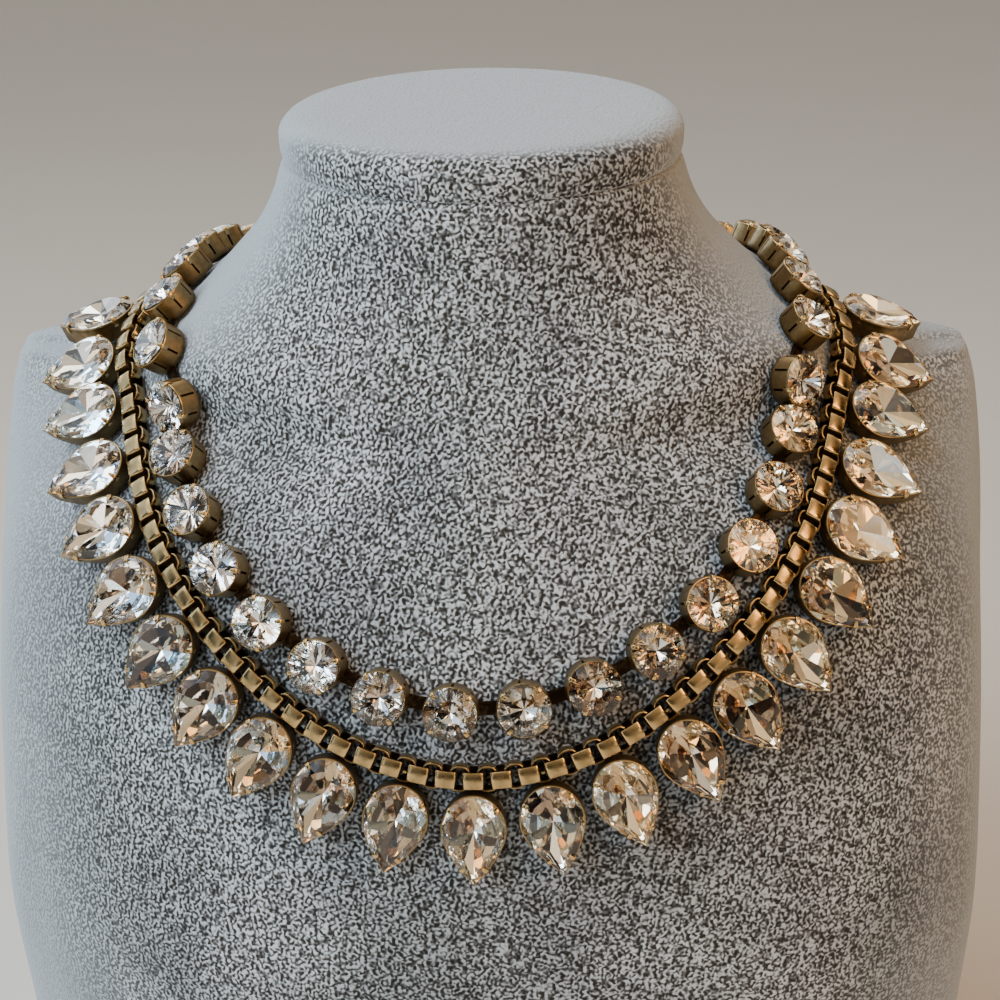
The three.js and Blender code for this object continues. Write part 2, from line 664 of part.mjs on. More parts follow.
// The drop's stone: flat table and crown facets above the girdle, pavilion facets to a small culet below.
function pearStoneGeometry(frame) {
  const slack = PEAR.wall + STONE_GAP;
  const girdle = pearOutline(PEAR.length - 2 * slack, PEAR.width - 2 * slack);
  return ringBody([
    ringOf(girdle, PEAR.floor + STONE_GAP, PEAR_CUT.culet, PEAR_CUT.culetShift),
    ringOf(girdle, PEAR.depth - STONE_GAP),
    ringOf(girdle, PEAR.depth + PEAR_CUT.crown, PEAR_CUT.table, PEAR_CUT.tableShift),
  ]).applyMatrix4(basis(frame));
}

addPiece('neck_bust', bustGeometry(), velvet);
addPiece('cup_chain', cupChainGeometry(), brass);
addPiece('clasp', geometryOf(claspSolid()), brass);
addPiece('box_chain', geometryOf(joined(linkFrames.map(linkSolid))), brass);
pearFrames.forEach((frame, i) => {
  addPiece(numbered('pear_setting', i), settingGeometry(frame), brass);
  addPiece(numbered('pear_stone', i), pearStoneGeometry(frame), crystal);
});

export default necklace;
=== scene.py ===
import math

import bpy
import numpy as np
from mathutils import Matrix, Vector


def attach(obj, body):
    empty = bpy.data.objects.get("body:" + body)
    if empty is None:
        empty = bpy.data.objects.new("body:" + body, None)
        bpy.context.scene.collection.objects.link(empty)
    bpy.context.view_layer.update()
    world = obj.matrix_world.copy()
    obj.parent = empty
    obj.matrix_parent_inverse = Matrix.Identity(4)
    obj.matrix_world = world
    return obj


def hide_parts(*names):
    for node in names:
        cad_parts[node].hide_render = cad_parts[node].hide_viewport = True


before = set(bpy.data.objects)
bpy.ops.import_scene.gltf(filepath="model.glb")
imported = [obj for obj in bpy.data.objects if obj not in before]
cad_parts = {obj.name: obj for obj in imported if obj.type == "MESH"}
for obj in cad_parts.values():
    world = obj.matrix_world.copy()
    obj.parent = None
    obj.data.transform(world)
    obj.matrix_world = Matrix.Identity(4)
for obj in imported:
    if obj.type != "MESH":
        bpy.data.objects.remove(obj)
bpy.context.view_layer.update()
mm = 0.001
upright = np.array([0, 0, 1])


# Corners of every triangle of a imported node, as an array of (triangle, corner, xyz).
def nodeTriangles(name):
    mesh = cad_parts[name].data
    points = np.zeros(3 * len(mesh.vertices))
    mesh.vertices.foreach_get("co", points)
    mesh.calc_loop_triangles()
    corners = np.zeros(3 * len(mesh.loop_triangles), int)
    mesh.loop_triangles.foreach_get("vertices", corners)
    return points.reshape(-1, 3)[corners.reshape(-1, 3)]


# Unit normal and area of each triangle: half the cross product of two sides.
def normalsAndAreas(triangles):
    crossed = np.cross(triangles[:, 1] - triangles[:, 0], triangles[:, 2] - triangles[:, 0])
    doubled = np.linalg.norm(crossed, axis=1)
    return crossed / np.maximum(doubled, 1e-15)[:, None], doubled / 2


# Sums of the vectors that share a label.
def summedBy(label, vectors):
    return np.stack([np.bincount(label, vectors[:, i]) for i in range(3)], 1)


# Flat faces of a node: triangles of one plane whose middles lie within reach of each other are one face.
def flatFaces(name, reach):
    triangles = nodeTriangles(name)
    normals, areas = normalsAndAreas(triangles)
    middles = triangles.mean(1)
    offsets = (middles * normals).sum(1)
    together = normals @ normals.T > 0.99999
    together &= np.abs(normals @ middles.T - offsets[:, None]) < 0.01 * mm
    together &= np.linalg.norm(middles[:, None] - middles[None], axis=2) < reach
    faces, label = np.unique(together.argmax(1), return_inverse=True)
    size = np.bincount(label, areas)
    return size, summedBy(label, areas[:, None] * middles) / size[:, None], normals[faces]


def unit(vectors):
    return vectors / np.linalg.norm(vectors, axis=-1, keepdims=True)


# Vectors without their part along n, made unit long.
def squareTo(vectors, n):
    return unit(vectors - (vectors * n).sum(-1, keepdims=True) * n)


# Frames at points p, from their way x and normal n; y stands square to both.
def framesAt(p, x, n):
    return [{"p": a, "x": b, "y": c, "n": d} for a, b, c, d in zip(p, x, np.cross(n, x), n)]


# A point above a frame's foot.
def raised(place, height):
    return place["p"] + height * place["n"]


# A body's local points carried into a frame: p + x X + y Y + z N.
def carried(body, place):
    points, *rest = body
    return (place["p"] + points @ np.stack([place["x"], place["y"], place["n"]]), *rest)


# Quads of a grid, row after row: outward where columns run leftwards round the rows' direction.
def gridQuads(rows, columns, wrapRows):
    r, c = np.meshgrid(np.arange(rows if wrapRows else rows - 1), np.arange(columns), indexing="ij")
    r, c = r.ravel(), c.ravel()
    here, above = r * columns, (r + 1) % rows * columns
    nextColumn = (c + 1) % columns
    return np.stack([here + c, here + nextColumn, above + nextColumn, above + c], 1)


# A closed tube from a grid of rows of closed rings; a pole at the ring's middle closes each end.
def tube(points):
    rows, columns = points.shape[:2]
    c = np.arange(columns)
    turned = (c + 1) % columns
    first, last = rows * columns, rows * columns + 1
    start = np.stack([np.full(columns, first), turned, c, c], 1)
    top = (rows - 1) * columns
    end = np.stack([np.full(columns, last), top + c, top + turned, top + turned], 1)
    allPoints = np.concatenate([points.reshape(-1, 3), points[:1].mean(1), points[-1:].mean(1)])
    return allPoints, np.concatenate([gridQuads(rows, columns, False), start, end])


# Several bodies as one: points stacked, faces renumbered, values stacked.
def stacked(bodies):
    points, faces, values = zip(*bodies)
    starts = np.cumsum([0, *map(len, points)])
    faces = [face + start for face, start in zip(faces, starts)]
    return np.concatenate(points), np.concatenate(faces), np.concatenate(values)


def newMesh(name, points, corners, *finishes):
    mesh = bpy.data.meshes.new(name)
    mesh.from_pydata(points, [], corners)
    for finish in finishes:
        mesh.materials.append(finish)
    return mesh


def newObject(name, data):
    thing = bpy.data.objects.new(name, data)
    bpy.context.scene.collection.objects.link(thing)
    return thing


# A mesh as a piece of the scene, riding on the part.
def addPiece(name, mesh):
    piece = newObject(name, mesh)
    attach(piece, "root")
    return piece


# A smooth piece from points and quads; a quad with a repeated last corner is a triangle.
def meshPiece(name, points, faces, finish, patinaAndShade=None):
    corners = [face[:3] if face[2] == face[3] else face for face in faces.tolist()]
    mesh = newMesh(name, points.tolist(), corners, finish)
    mesh.polygons.foreach_set("use_smooth", np.full(len(corners), True))
    # the recess value holds patina in the hollows and painted shade, from 0 on open metal to 1 in full shade
    if patinaAndShade is not None:
        mesh.attributes.new("patinaAndShade", "FLOAT", "POINT").data.foreach_set("value", patinaAndShade.astype(np.float32))
    mesh.validate()
    return addPiece(name, mesh)


# Brass bodies as one piece, with crisp edges where they turn by more than an angle.
def brassPiece(name, bodies, degrees):
    points, faces, patinaAndShade = stacked(bodies)
    piece = meshPiece(name, points, faces, brass, patinaAndShade)
    piece.data.set_sharp_from_angle(angle=math.radians(degrees))
    return piece


def newMaterial(name, values):
    material = bpy.data.materials.new(name)
    material.use_nodes = True
    tree = material.node_tree
    shader = tree.nodes["Principled BSDF"]
    feedAll(tree, shader, values)
    return material, tree, shader


# A node group of plain numbers, with what it reads and what it gives.
def newGroup(name, enters, leaves):
    group = bpy.data.node_groups.new(name, "ShaderNodeTree")
    for way, names in (("INPUT", enters), ("OUTPUT", leaves)):
        for socket in names:
            group.interface.new_socket(socket, in_out=way, socket_type="NodeSocketFloat")
    return group, group.nodes.new("NodeGroupInput").outputs, group.nodes.new("NodeGroupOutput").inputs


# A socket's value: another node's output is linked, anything else is set.
def feed(tree, socket, value):
    if isinstance(value, bpy.types.NodeSocket):
        tree.links.new(value, socket)
    else:
        socket.default_value = value


def feedAll(tree, node, values):
    for name, value in values.items():
        feed(tree, node.inputs[name], value)


# A node: values go to its inputs in order, and settings to its inputs or properties by name.
def addNode(tree, kind, *values, **settings):
    node = tree.nodes.new(kind)
    for key, value in settings.items():
        if key in node.inputs:
            feed(tree, node.inputs[key], value)
        else:
            setattr(node, key, value)
    for socket, value in zip(node.inputs, values):
        feed(tree, socket, value)
    return node


def mathNode(tree, operation, *values, **settings):
    return addNode(tree, "ShaderNodeMath", *values, operation=operation, **settings).outputs[0]


def vectorNode(tree, operation, *values, **settings):
    return addNode(tree, "ShaderNodeVectorMath", *values, operation=operation, **settings).outputs[0]


def colourRamp(tree, value, stops):
    ramp = addNode(tree, "ShaderNodeValToRGB", value)
    elements = ramp.color_ramp.elements
    while len(elements) < len(stops):
        elements.new(0.5)
    for element, (place, colour) in zip(elements, stops):
        element.position = place
        element.color = (*colour, 1)
    return ramp


# One colour over another by a factor.
def mixColours(tree, factor, under, over, blend="MIX"):
    node = addNode(tree, "ShaderNodeMix", data_type="RGBA", blend_type=blend, Factor=factor)
    for socket, colour in zip(node.inputs[6:8], (under, over)):
        feed(tree, socket, (*colour, 1) if isinstance(colour, tuple) else colour)
    return node.outputs[2]


# A value eased from one range to another.
def mapRange(tree, value, low, high, toLow=0.0, toHigh=1.0, kind="SMOOTHSTEP"):
    node = addNode(tree, "ShaderNodeMapRange", value, low, high, toLow, toHigh, interpolation_type=kind)
    return node.outputs["Result"]


def noiseNode(tree, place, **settings):
    return addNode(tree, "ShaderNodeTexNoise", Vector=place, **settings).outputs


def groupNode(tree, group, *values):
    return addNode(tree, "ShaderNodeGroup", *values, node_tree=group).outputs


pileMake = {
    "warpScale": 1000.0,
    "warp": 0.58 * mm,
    "reach": 0.36 * mm,
    "around": [(1, 0, 0), (-0.5, 0.5, 0.7), (-0.5, 0.5, -0.7), (0, -1, 0)],
    "swing": 0.76,  # the ridges' height that counts as full
    "patches": {"Detail": 2.0, "Roughness": 0.5, "Distortion": 0.3},
}


# Brushed pile as a group: short crooked ridges and partings, where a noise on pushed-about places is higher
# or lower than its mean at four places around; and broad patches where the nap lies another way.
def pileGroup():
    group, enter, leave = newGroup("brushed_pile", ["Ridge Scale", "Patch Scale"], ["Pile", "Patches"])
    place = addNode(group, "ShaderNodeTexCoord").outputs["Object"]
    push = noiseNode(group, place, Scale=pileMake["warpScale"], Detail=0.0)["Color"]
    pushed = vectorNode(group, "MULTIPLY_ADD", push, (pileMake["warp"],) * 3, place)
    ridges = noiseNode(group, pushed, Scale=enter["Ridge Scale"], Detail=0.0)["Fac"]
    above = mathNode(group, "MULTIPLY", ridges, len(pileMake["around"]))
    for way in pileMake["around"]:
        aside = vectorNode(group, "ADD", pushed, [pileMake["reach"] * part for part in way])
        ridges = noiseNode(group, aside, Scale=enter["Ridge Scale"], Detail=0.0)["Fac"]
        above = mathNode(group, "SUBTRACT", above, ridges)
    patches = noiseNode(group, place, Scale=enter["Patch Scale"], **pileMake["patches"])
    feed(group, leave["Pile"], mapRange(group, above, -pileMake["swing"], pileMake["swing"]))
    feed(group, leave["Patches"], patches["Fac"])
    return group


velvetLook = {
    "dark": (0.02, 0.018, 0.015),
    "middle": (0.115, 0.12, 0.122),
    "light": (0.42, 0.45, 0.467),
    "mean": (0.17, 0.18, 0.185),
    # pale is a painted sheen, mixed into the base colour at glancing angles and on up-facing cloth
    "pale": (0.3, 0.33, 0.35),
    "patches": (0.3, 0.7, 0.72, 1.22),  # from this range of the patches to this range of shade
    "paintedSheenFade": (0.3, 0.85),
    "paintedTopSheen": 0.22,
    "ridgeScale": 1560.0,
    "patchScale": 34.0,
    "bump": {"Strength": 0.6, "Distance": 0.22 * mm},
    "surface": {
        "Roughness": 0.95,
        "Specular IOR Level": 0.15,
        "Sheen Weight": 0.35,
        "Sheen Roughness": 0.35,
        "Sheen Tint": (0.86, 0.92, 1.0, 1),
    },
}


def velvetMaterial():
    look = velvetLook
    material, tree, shader = newMaterial("brushed_velvet", look["surface"])
    pile = groupNode(tree, pileGroup(), look["ridgeScale"], look["patchScale"])
    ramp = colourRamp(tree, pile["Pile"], [(0.0, look["dark"]), (0.5, look["middle"]), (1.0, look["light"])])
    shade = mapRange(tree, pile["Patches"], *look["patches"])
    tinted = vectorNode(tree, "SCALE", Vector=ramp.outputs["Color"], Scale=shade)
    # painted sheen and painted top light: towards a glancing angle, and where the cloth faces up, the base
    # colour is mixed towards pale, as if the tips of the pile hid the partings
    normal = addNode(tree, "ShaderNodeNewGeometry").outputs["Normal"]
    up = addNode(tree, "ShaderNodeSeparateXYZ", normal).outputs["Z"]
    facing = addNode(tree, "ShaderNodeLayerWeight").outputs["Facing"]
    paintedSheenFade = mapRange(tree, mathNode(tree, "MULTIPLY_ADD", up, look["paintedTopSheen"], facing), *look["paintedSheenFade"])
    paintedSheen = mixColours(tree, paintedSheenFade, tinted, look["pale"])
    # mirrored in a stone or seen through it, the pile is too small to tell and shows its mean colour
    ray = addNode(tree, "ShaderNodeLightPath").outputs
    mirrored = mathNode(tree, "MAXIMUM", ray["Is Glossy Ray"], ray["Is Transmission Ray"])
    bump = addNode(tree, "ShaderNodeBump", Height=pile["Pile"], **look["bump"])
    feedAll(tree, shader, {
        "Base Color": mixColours(tree, mirrored, paintedSheen, look["mean"]),
        "Normal": bump.outputs["Normal"],
    })
    return material


brassLook = {
    "rubbed": (0.62, 0.44, 0.2),
    "dark": (0.02, 0.012, 0.007),
    "mottleScale": 900.0,
    "mottleAmount": 0.5,
    "mottle": {"Detail": 3.0, "Roughness": 0.6},
    "grain": {"Scale": 5200.0, "Detail": 1.0},
    "roughness": (0.17, 0.55),  # rubbed and tarnished
    "bump": {"Strength": 0.15, "Distance": 0.02 * mm},
}


# Tarnish and painted shade as a group: 0 on rubbed metal and 1 in recesses darkened by patina and painted
# shade, from the recess value and a mottle.
def tarnishAndShadeGroup():
    group, enter, leave = newGroup("tarnishAndShade", ["Mottle Scale", "Mottle Amount"], ["Tarnish", "Grain"])
    place = addNode(group, "ShaderNodeTexCoord").outputs["Object"]
    mottle = noiseNode(group, place, Scale=enter["Mottle Scale"], **brassLook["mottle"])["Fac"]
    grain = noiseNode(group, place, **brassLook["grain"])["Fac"]
    patinaAndShade = addNode(group, "ShaderNodeAttribute", attribute_name="patinaAndShade").outputs["Fac"]
    centred = mathNode(group, "SUBTRACT", mottle, 0.5)
    tarnishAndShade = mathNode(group, "MULTIPLY_ADD", centred, enter["Mottle Amount"], patinaAndShade, use_clamp=True)
    feed(group, leave["Tarnish"], tarnishAndShade)
    feed(group, leave["Grain"], grain)
    return group


def brassMaterial():
    look = brassLook
    material, tree, shader = newMaterial("antique_brass", {"Metallic": 1.0})
    # the brass darkens with tarnish and with painted shade where the recess value is high
    wornAndShaded = groupNode(tree, tarnishAndShadeGroup(), look["mottleScale"], look["mottleAmount"])
    ramp = colourRamp(tree, wornAndShaded["Tarnish"], [(0.0, look["rubbed"]), (1.0, look["dark"])])
    bump = addNode(tree, "ShaderNodeBump", Height=wornAndShaded["Grain"], **look["bump"])
    feedAll(tree, shader, {
        "Base Color": ramp.outputs["Color"],
        "Roughness": mapRange(tree, wornAndShaded["Tarnish"], 0.0, 1.0, *look["roughness"]),
        "Normal": bump.outputs["Normal"],
    })
    return material


crystalLook = {
    "Base Color": (1.0, 0.985, 0.96, 1),
    "Roughness": 0.0,
    "IOR": 1.56,
    "Transmission Weight": 1.0,
}
foilLook = {"Metallic": 1.0, "Roughness": 0.04}


# The silvered back of a stone: each facet has its own painted reflection, a tone in its base colour.
def foilMaterial():
    material, tree, shader = newMaterial("foil_with_painted_reflections", foilLook)
    paintedReflection = addNode(tree, "ShaderNodeAttribute", attribute_name="paintedReflection").outputs["Color"]
    feed(tree, shader.inputs["Base Color"], paintedReflection)
    return material


velvet = velvetMaterial()
brass = brassMaterial()
crystal = newMaterial("clear_crystal", crystalLook)[0]
foil = foilMaterial()
print("materials made")


bustMake = {
    "columns": 288,
    "rowStep": 1.0 * mm,
    "topRings": 6,
    "tiltFrom": 172 * mm,
    "tiltTo": 196 * mm,
    "topDrop": 1.0 * mm,
    "tilt": 0.066,
    "seamHeight": 198 * mm,
    "seamReach": 7 * mm,
    "seamDrop": 0.8 * mm,
    "grooveDepth": 0.5 * mm,
    "grooveWidth": 0.45 * mm,
    "grooveRows": 9,
}


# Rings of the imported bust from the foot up, each from its right-hand point leftwards round.
def bustRings():
    points = np.unique(np.round(nodeTriangles("neck_bust").reshape(-1, 3), 7), axis=0)
    heights = np.unique(np.round(points[:, 2], 5))
    rings = []
    for height in heights:
        ring = points[np.abs(points[:, 2] - height) < 0.02 * mm]
        away = ring - (ring.min(0) + ring.max(0)) / 2
        turn = np.arctan2(away[:, 1], away[:, 0])
        first = turn[ring[:, 0].argmax()]
        rings.append(ring[np.argsort(np.mod(turn - first + 1e-4, 2 * math.pi))])
    return np.stack(rings)


# Cubic through rows of values at the given knots: each row's slope is the parabola's through its neighbours,
# and no steeper than three times the smaller rise beside it, so that the curve never swings past a row.
def cubicRows(knots, rows, at):
    step = np.diff(knots)[:, None, None]
    rise = np.diff(rows, axis=0) / step
    inner = (step[1:] * rise[:-1] + step[:-1] * rise[1:]) / (step[1:] + step[:-1])
    limit = 3 * np.minimum(np.abs(rise[:-1]), np.abs(rise[1:])) * (rise[:-1] * rise[1:] > 0)
    inner = np.clip(inner, -limit, limit)
    slope = np.concatenate([rise[:1], inner, rise[-1:]])
    i = np.clip(np.searchsorted(knots, at, side="right") - 1, 0, len(knots) - 2)
    gap = step[i]
    s = (at - knots[i])[:, None, None] / gap
    return (
        (1 + 2 * s) * (1 - s) ** 2 * rows[i]
        + s * (1 - s) ** 2 * gap * slope[i]
        + s * s * (3 - 2 * s) * rows[i + 1]
        + s * s * (s - 1) * gap * slope[i + 1]
    )


# Smaller copies of a ring about its middle.
def shrunk(ring, share):
    middle = ring.mean(1, keepdims=True)
    return middle + (ring - middle) * share


# The bust's skin: rings eased by cubics up the body and round it, a groove at the seam as deep as a bell
# curve, and smaller and smaller rings over the top disc and the foot.
def bustSurface():
    rings = bustRings()
    sides, columns = rings.shape[1], bustMake["columns"]
    wrapped = np.concatenate([rings[:, -3:], rings, rings[:, :4]], 1).transpose(1, 0, 2)
    around = cubicRows(np.arange(-3, sides + 4, dtype=float), wrapped, np.arange(columns) * sides / columns)
    around = around.transpose(1, 0, 2)
    steps = np.linalg.norm(np.diff(rings, axis=0), axis=2).mean(1)
    knots = np.concatenate([[0], np.cumsum(steps)])
    at = [
        np.linspace(low, high, max(2, int((high - low) / bustMake["rowStep"]) + 2))[:-1]
        for low, high in zip(knots[:-1], knots[1:])
    ]
    seam = knots[np.abs(rings[:, :, 2].mean(1) - bustMake["seamHeight"]).argmin()]
    near = seam + bustMake["grooveWidth"] * np.linspace(-1.5, 1.5, bustMake["grooveRows"])
    rows = np.unique(np.concatenate([*at, knots[-1:], near]))
    skin = cubicRows(knots, around, rows)
    groove = bustMake["grooveDepth"] * np.exp(-(((rows - seam) / bustMake["grooveWidth"] * 1.6) ** 2))
    inward = unit(skin.mean(1, keepdims=True) - skin)
    skin = skin + groove[:, None, None] * inward
    share = np.linspace(1, 0, bustMake["topRings"] + 2)[1:-1, None, None]
    return leanTop(np.concatenate([shrunk(skin[:1], share[::-1]), skin, shrunk(skin[-1:], share)]))


# The top leans a little to the front: each point drops by the lean times its way forward, eased in between
# two heights, and the seam drops a little more.
def leanTop(points):
    height = points[..., 2]
    middle = points[-1, :, 1].mean()
    s = np.clip((height - bustMake["tiltFrom"]) / (bustMake["tiltTo"] - bustMake["tiltFrom"]), 0, 1)
    ease = s * s * (3 - 2 * s)
    seam = np.clip(1 - np.abs(height - bustMake["seamHeight"]) / bustMake["seamReach"], 0, 1)
    lean = bustMake["topDrop"] + bustMake["tilt"] * (middle - points[..., 1])
    moved = points.copy()
    moved[..., 2] -= ease * lean + bustMake["seamDrop"] * seam
    return moved


bustSkin = bustSurface()
neckMiddle = bustSkin[-1].mean(0)
bustPoints, bustFaces = tube(bustSkin)
bustPiece = meshPiece("velvet_bust", bustPoints, bustFaces, velvet)
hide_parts("neck_bust")
print("bust made")


# Angle round the neck of each point: 0 in front, positive to the right.
def turnRoundNeck(points):
    return np.arctan2(points[:, 0] - neckMiddle[0], neckMiddle[1] - points[:, 1])


# Round a square of side 1 with rounded corners: cosine and sine, their sizes raised to a power below 1.
def roundedSquare(count, power):
    turn = (np.arange(count) + 0.5) * 2 * math.pi / count
    ring = np.stack([np.cos(turn), np.sin(turn)])
    return np.sign(ring) * np.abs(ring) ** power / 2


barMake = {"sides": 12, "power": 0.45}


# A bar along a path: each ring is a rounded rectangle, its width along the side and its thickness across
# both, and the whole bar has one recess value.
def sweptBar(path, side, width, thick, tarnishAndShade):
    path = np.asarray(path, float)
    along = unit(np.gradient(path, axis=0))
    side = squareTo(np.broadcast_to(side, path.shape), along)
    up = np.cross(along, side)
    across, over = roundedSquare(barMake["sides"], barMake["power"])[:, None, :, None]
    width = np.broadcast_to(np.asarray(width, float), len(path))[:, None, None]
    points, faces = tube(path[:, None] + width * across * side[:, None] + thick * over * up[:, None])
    return points, faces, np.full(len(points), tarnishAndShade)


# Smooth points along a bent line: each corner is cut by a quadratic curve.
def bentLine(points, roundness=0.35, steps=4):
    points = np.asarray(points, float)
    line = [points[:1]]
    s = np.linspace(0, 1, steps)[:, None]
    for before, corner, after in zip(points[:-2], points[1:-1], points[2:]):
        start = corner + (before - corner) * roundness
        end = corner + (after - corner) * roundness
        line.append((1 - s) ** 2 * start + 2 * s * (1 - s) * corner + s * s * end)
    line.append(points[-1:])
    return np.concatenate(line)


# A claw: a tapering bar through a profile of steps along a way and heights, from a starting point.
def clawBar(start, way, side, make):
    profile = np.array(make["profile"]) * mm
    path = start + profile[:, :1] * way + profile[:, 1:] * upright
    return sweptBar(path, side, np.array(make["widths"]) * mm, make["thick"], make["tarnishAndShade"])


cupMake = {
    "packedSides": 10,
    "radius": 4.45 * mm,
    "wall": 4.3 * mm,
    "table": 2.35 * mm,
    "crown": 1.15 * mm,
    "tabs": 8,
    "tabColumns": 7,
    "slit": 0.42 * mm,
    "slitEdge": 0.015,
    "slitDepth": 0.5 * mm,
    "claws": 4,
    "girdle": 4.3 * mm,
}
cupClawMake = {
    "profile": [
        [-0.12, -1.1], [0.08, -0.5], [0.1, 0.05], [-0.12, 0.4], [-0.5, 0.56], [-0.86, 0.62], [-0.98, 0.58],
    ],
    "widths": [0.8, 0.8, 0.75, 0.7, 0.62, 0.5, 0.2],
    "thick": 0.3 * mm,
    "tarnishAndShade": 0.08,
}
# the strips' value of 1 paints them fully dark, as painted shade where they lie low between the cups
stripMake = {"width": 2.6 * mm, "thick": 0.5 * mm, "height": 0.75 * mm, "arch": 0.12 * mm, "waist": 0.12,
             "tarnishAndShade": 1.0}


# Frames of the cups, in order round the neck from the back left: each packed stone has a flat table, and
# the cup's foot lies its wall and the stone's crown below that.
def cupFrames():
    size, centre, normal = flatFaces("cup_chain", 7 * mm)
    sides = cupMake["packedSides"]
    table = sides / 2 * cupMake["table"] ** 2 * math.sin(2 * math.pi / sides)
    chosen = np.abs(size / table - 1) < 0.01
    n = normal[chosen]
    centre = centre[chosen] - n * (cupMake["wall"] + cupMake["crown"])
    order = np.argsort(turnRoundNeck(centre))
    centre, n = centre[order], n[order]
    ahead = np.concatenate([centre[1:], centre[-1:]]) - np.concatenate([centre[:1], centre[:-1]])
    return framesAt(centre, squareTo(ahead, n), n)


# A cup: a profile of (radius, height) turned about the axis, its wall cut by slits into tabs.
def cupBody():
    radius, wall = cupMake["radius"], cupMake["wall"]
    r, top = radius / mm, wall / mm
    profile = np.array([
        [0.3 * r, 0], [r - 0.5, 0], [r - 0.22, 0.05], [r - 0.1, 0.25], [r - 0.08, 0.9], [r - 0.08, 0.95],
        [r - 0.06, 2.4], [r - 0.04, top - 0.55], [r - 0.04, top - 0.5], [r, top - 0.35], [r, top - 0.1],
        [r - 0.08, top], [r - 0.2, top], [r - 0.27, top - 0.1], [r - 0.3, top - 0.6], [r - 1.2, top - 2.9],
        [0.3 * r, top - 3.5],
    ]) * mm
    insideFrom = 13  # the profile's first row inside the rim
    sector = 2 * math.pi / cupMake["tabs"]
    half = cupMake["slit"] / 2 / radius
    edge = half - cupMake["slitEdge"]
    within = np.concatenate([[-edge, edge], np.linspace(half, sector - half, cupMake["tabColumns"])])
    turn = (np.arange(cupMake["tabs"])[:, None] * sector + within).ravel()
    across = np.tile(np.arange(len(within)) < 2, cupMake["tabs"])
    out, height = profile[:, :1], profile[:, 1:]
    upTo = wall - 0.52 * mm
    slit = ((height > 0.92 * mm) & (height < upTo) & (out > radius - 0.25 * mm)) * across
    cut = out - cupMake["slitDepth"] * slit
    ring = np.stack([cut * np.cos(turn), cut * np.sin(turn), np.broadcast_to(height, cut.shape)], 2)
    # Painted shade and patina: the cup darkens towards its foot on the velvet, in the slits and all over its
    # inside.
    heights = [0, 0.3 * mm, 1.2 * mm, wall - 1 * mm, wall - 0.3 * mm, wall]
    dark = np.maximum(np.interp(height, heights, [0.9, 0.75, 0.6, 0.55, 0.45, 0.35]), slit)
    dark[insideFrom:] = 0.9
    points, faces = tube(ring)
    return points, faces, np.concatenate([dark.ravel(), [0.6, 0.7]])


# A cup's claw, up the wall, over the rim and down on the stone.
def cupClaw(turn):
    out = np.array([math.cos(turn), math.sin(turn), 0])
    side = np.array([-math.sin(turn), math.cos(turn), 0])
    return clawBar(cupMake["radius"] * out + cupMake["wall"] * upright, out, side, cupClawMake)


cups = cupFrames()
clawTurns = (np.arange(cupMake["claws"]) + 0.5) * 2 * math.pi / cupMake["claws"]
cupLocal = stacked([cupBody(), *[cupClaw(turn) for turn in clawTurns]])
cupPiece = brassPiece("round_cups", [carried(cupLocal, place) for place in cups], 40)
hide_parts("cup_chain")
print("cups made:", len(cups))


# The strip between two cups: a shallow arch of a flat bar, narrowed like a half sine to its middle.
def stripBody(one, two):
    start, end = raised(one, stripMake["height"]), raised(two, stripMake["height"])
    s = np.linspace(0, 1, 9)[:, None]
    arch = np.sin(math.pi * s)
    n = unit(one["n"] + two["n"])
    path = start + s * (end - start) + n * stripMake["arch"] * arch
    width = stripMake["width"] * (1 - stripMake["waist"] * arch[:, 0])
    return sweptBar(path, np.cross(n, unit(end - start)), width, stripMake["thick"], stripMake["tarnishAndShade"])


# The clasp's frame: its packed block's largest face to the back gives its normal, its corners its size.
def claspFrame():
    area, centre, normal = flatFaces("clasp", 20 * mm)
    top = np.argmax(area * (normal[:, 1] > 0.2))
    n = normal[top]
    x = squareTo(np.array([[-1.0, 0, 0]]), n)[0]
    y = np.cross(n, x)
    corners = nodeTriangles("clasp").reshape(-1, 3)
    size = [np.ptp(corners @ axis) for axis in (x, y, n)]
    return {"p": centre[top] - n * size[2], "x": x, "y": y, "n": n}, size


claspPlace, claspSize = claspFrame()
claspMake = {
    "sides": 24,
    "power": 0.4,
    "pocket": 3.0 * mm,
    "pocketWidth": 3.0 * mm,
    "pocketThick": 1.4 * mm,
    "tailIn": 0.8 * mm,
    "tailTarnish": 0.25,
}


# The clasp: rounded rectangles carried along its length, with a pocket sunk in each end.
def claspBody():
    length, width, thick = claspSize
    end, inWidth, inThick = -0.5 * length, claspMake["pocketWidth"], claspMake["pocketThick"]
    stations = np.array([
        [end + claspMake["pocket"], inWidth, inThick],
        [end + 0.15 * mm, inWidth, inThick],
        [end, inWidth + 0.2 * mm, inThick + 0.2 * mm],
        [end, width - 0.5 * mm, thick - 0.5 * mm],
        [end + 0.2 * mm, width - 0.1 * mm, thick - 0.1 * mm],
        [end + 0.5 * mm, width, thick],
        [-0.15 * length, width, thick],
    ])
    stations = np.concatenate([stations, stations[::-1] * [-1, 1, 1]])
    sides = claspMake["sides"]
    across, over = roundedSquare(sides, claspMake["power"])
    ring = np.stack([
        np.broadcast_to(stations[:, :1], (len(stations), sides)),
        stations[:, 1:2] * across,
        stations[:, 2:] * over + thick / 2,
    ], 2)
    points, faces = tube(ring)
    # patina and painted shade: the pockets at the ends are dark, the outside light
    dark = np.repeat(np.where((stations[:, 1] < width - 1 * mm), 0.9, 0.2), sides)
    return points, faces, np.concatenate([dark, [0.9, 0.9]])


claspPiece = brassPiece("clasp_block", [carried(claspBody(), claspPlace)], 35)
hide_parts("clasp")


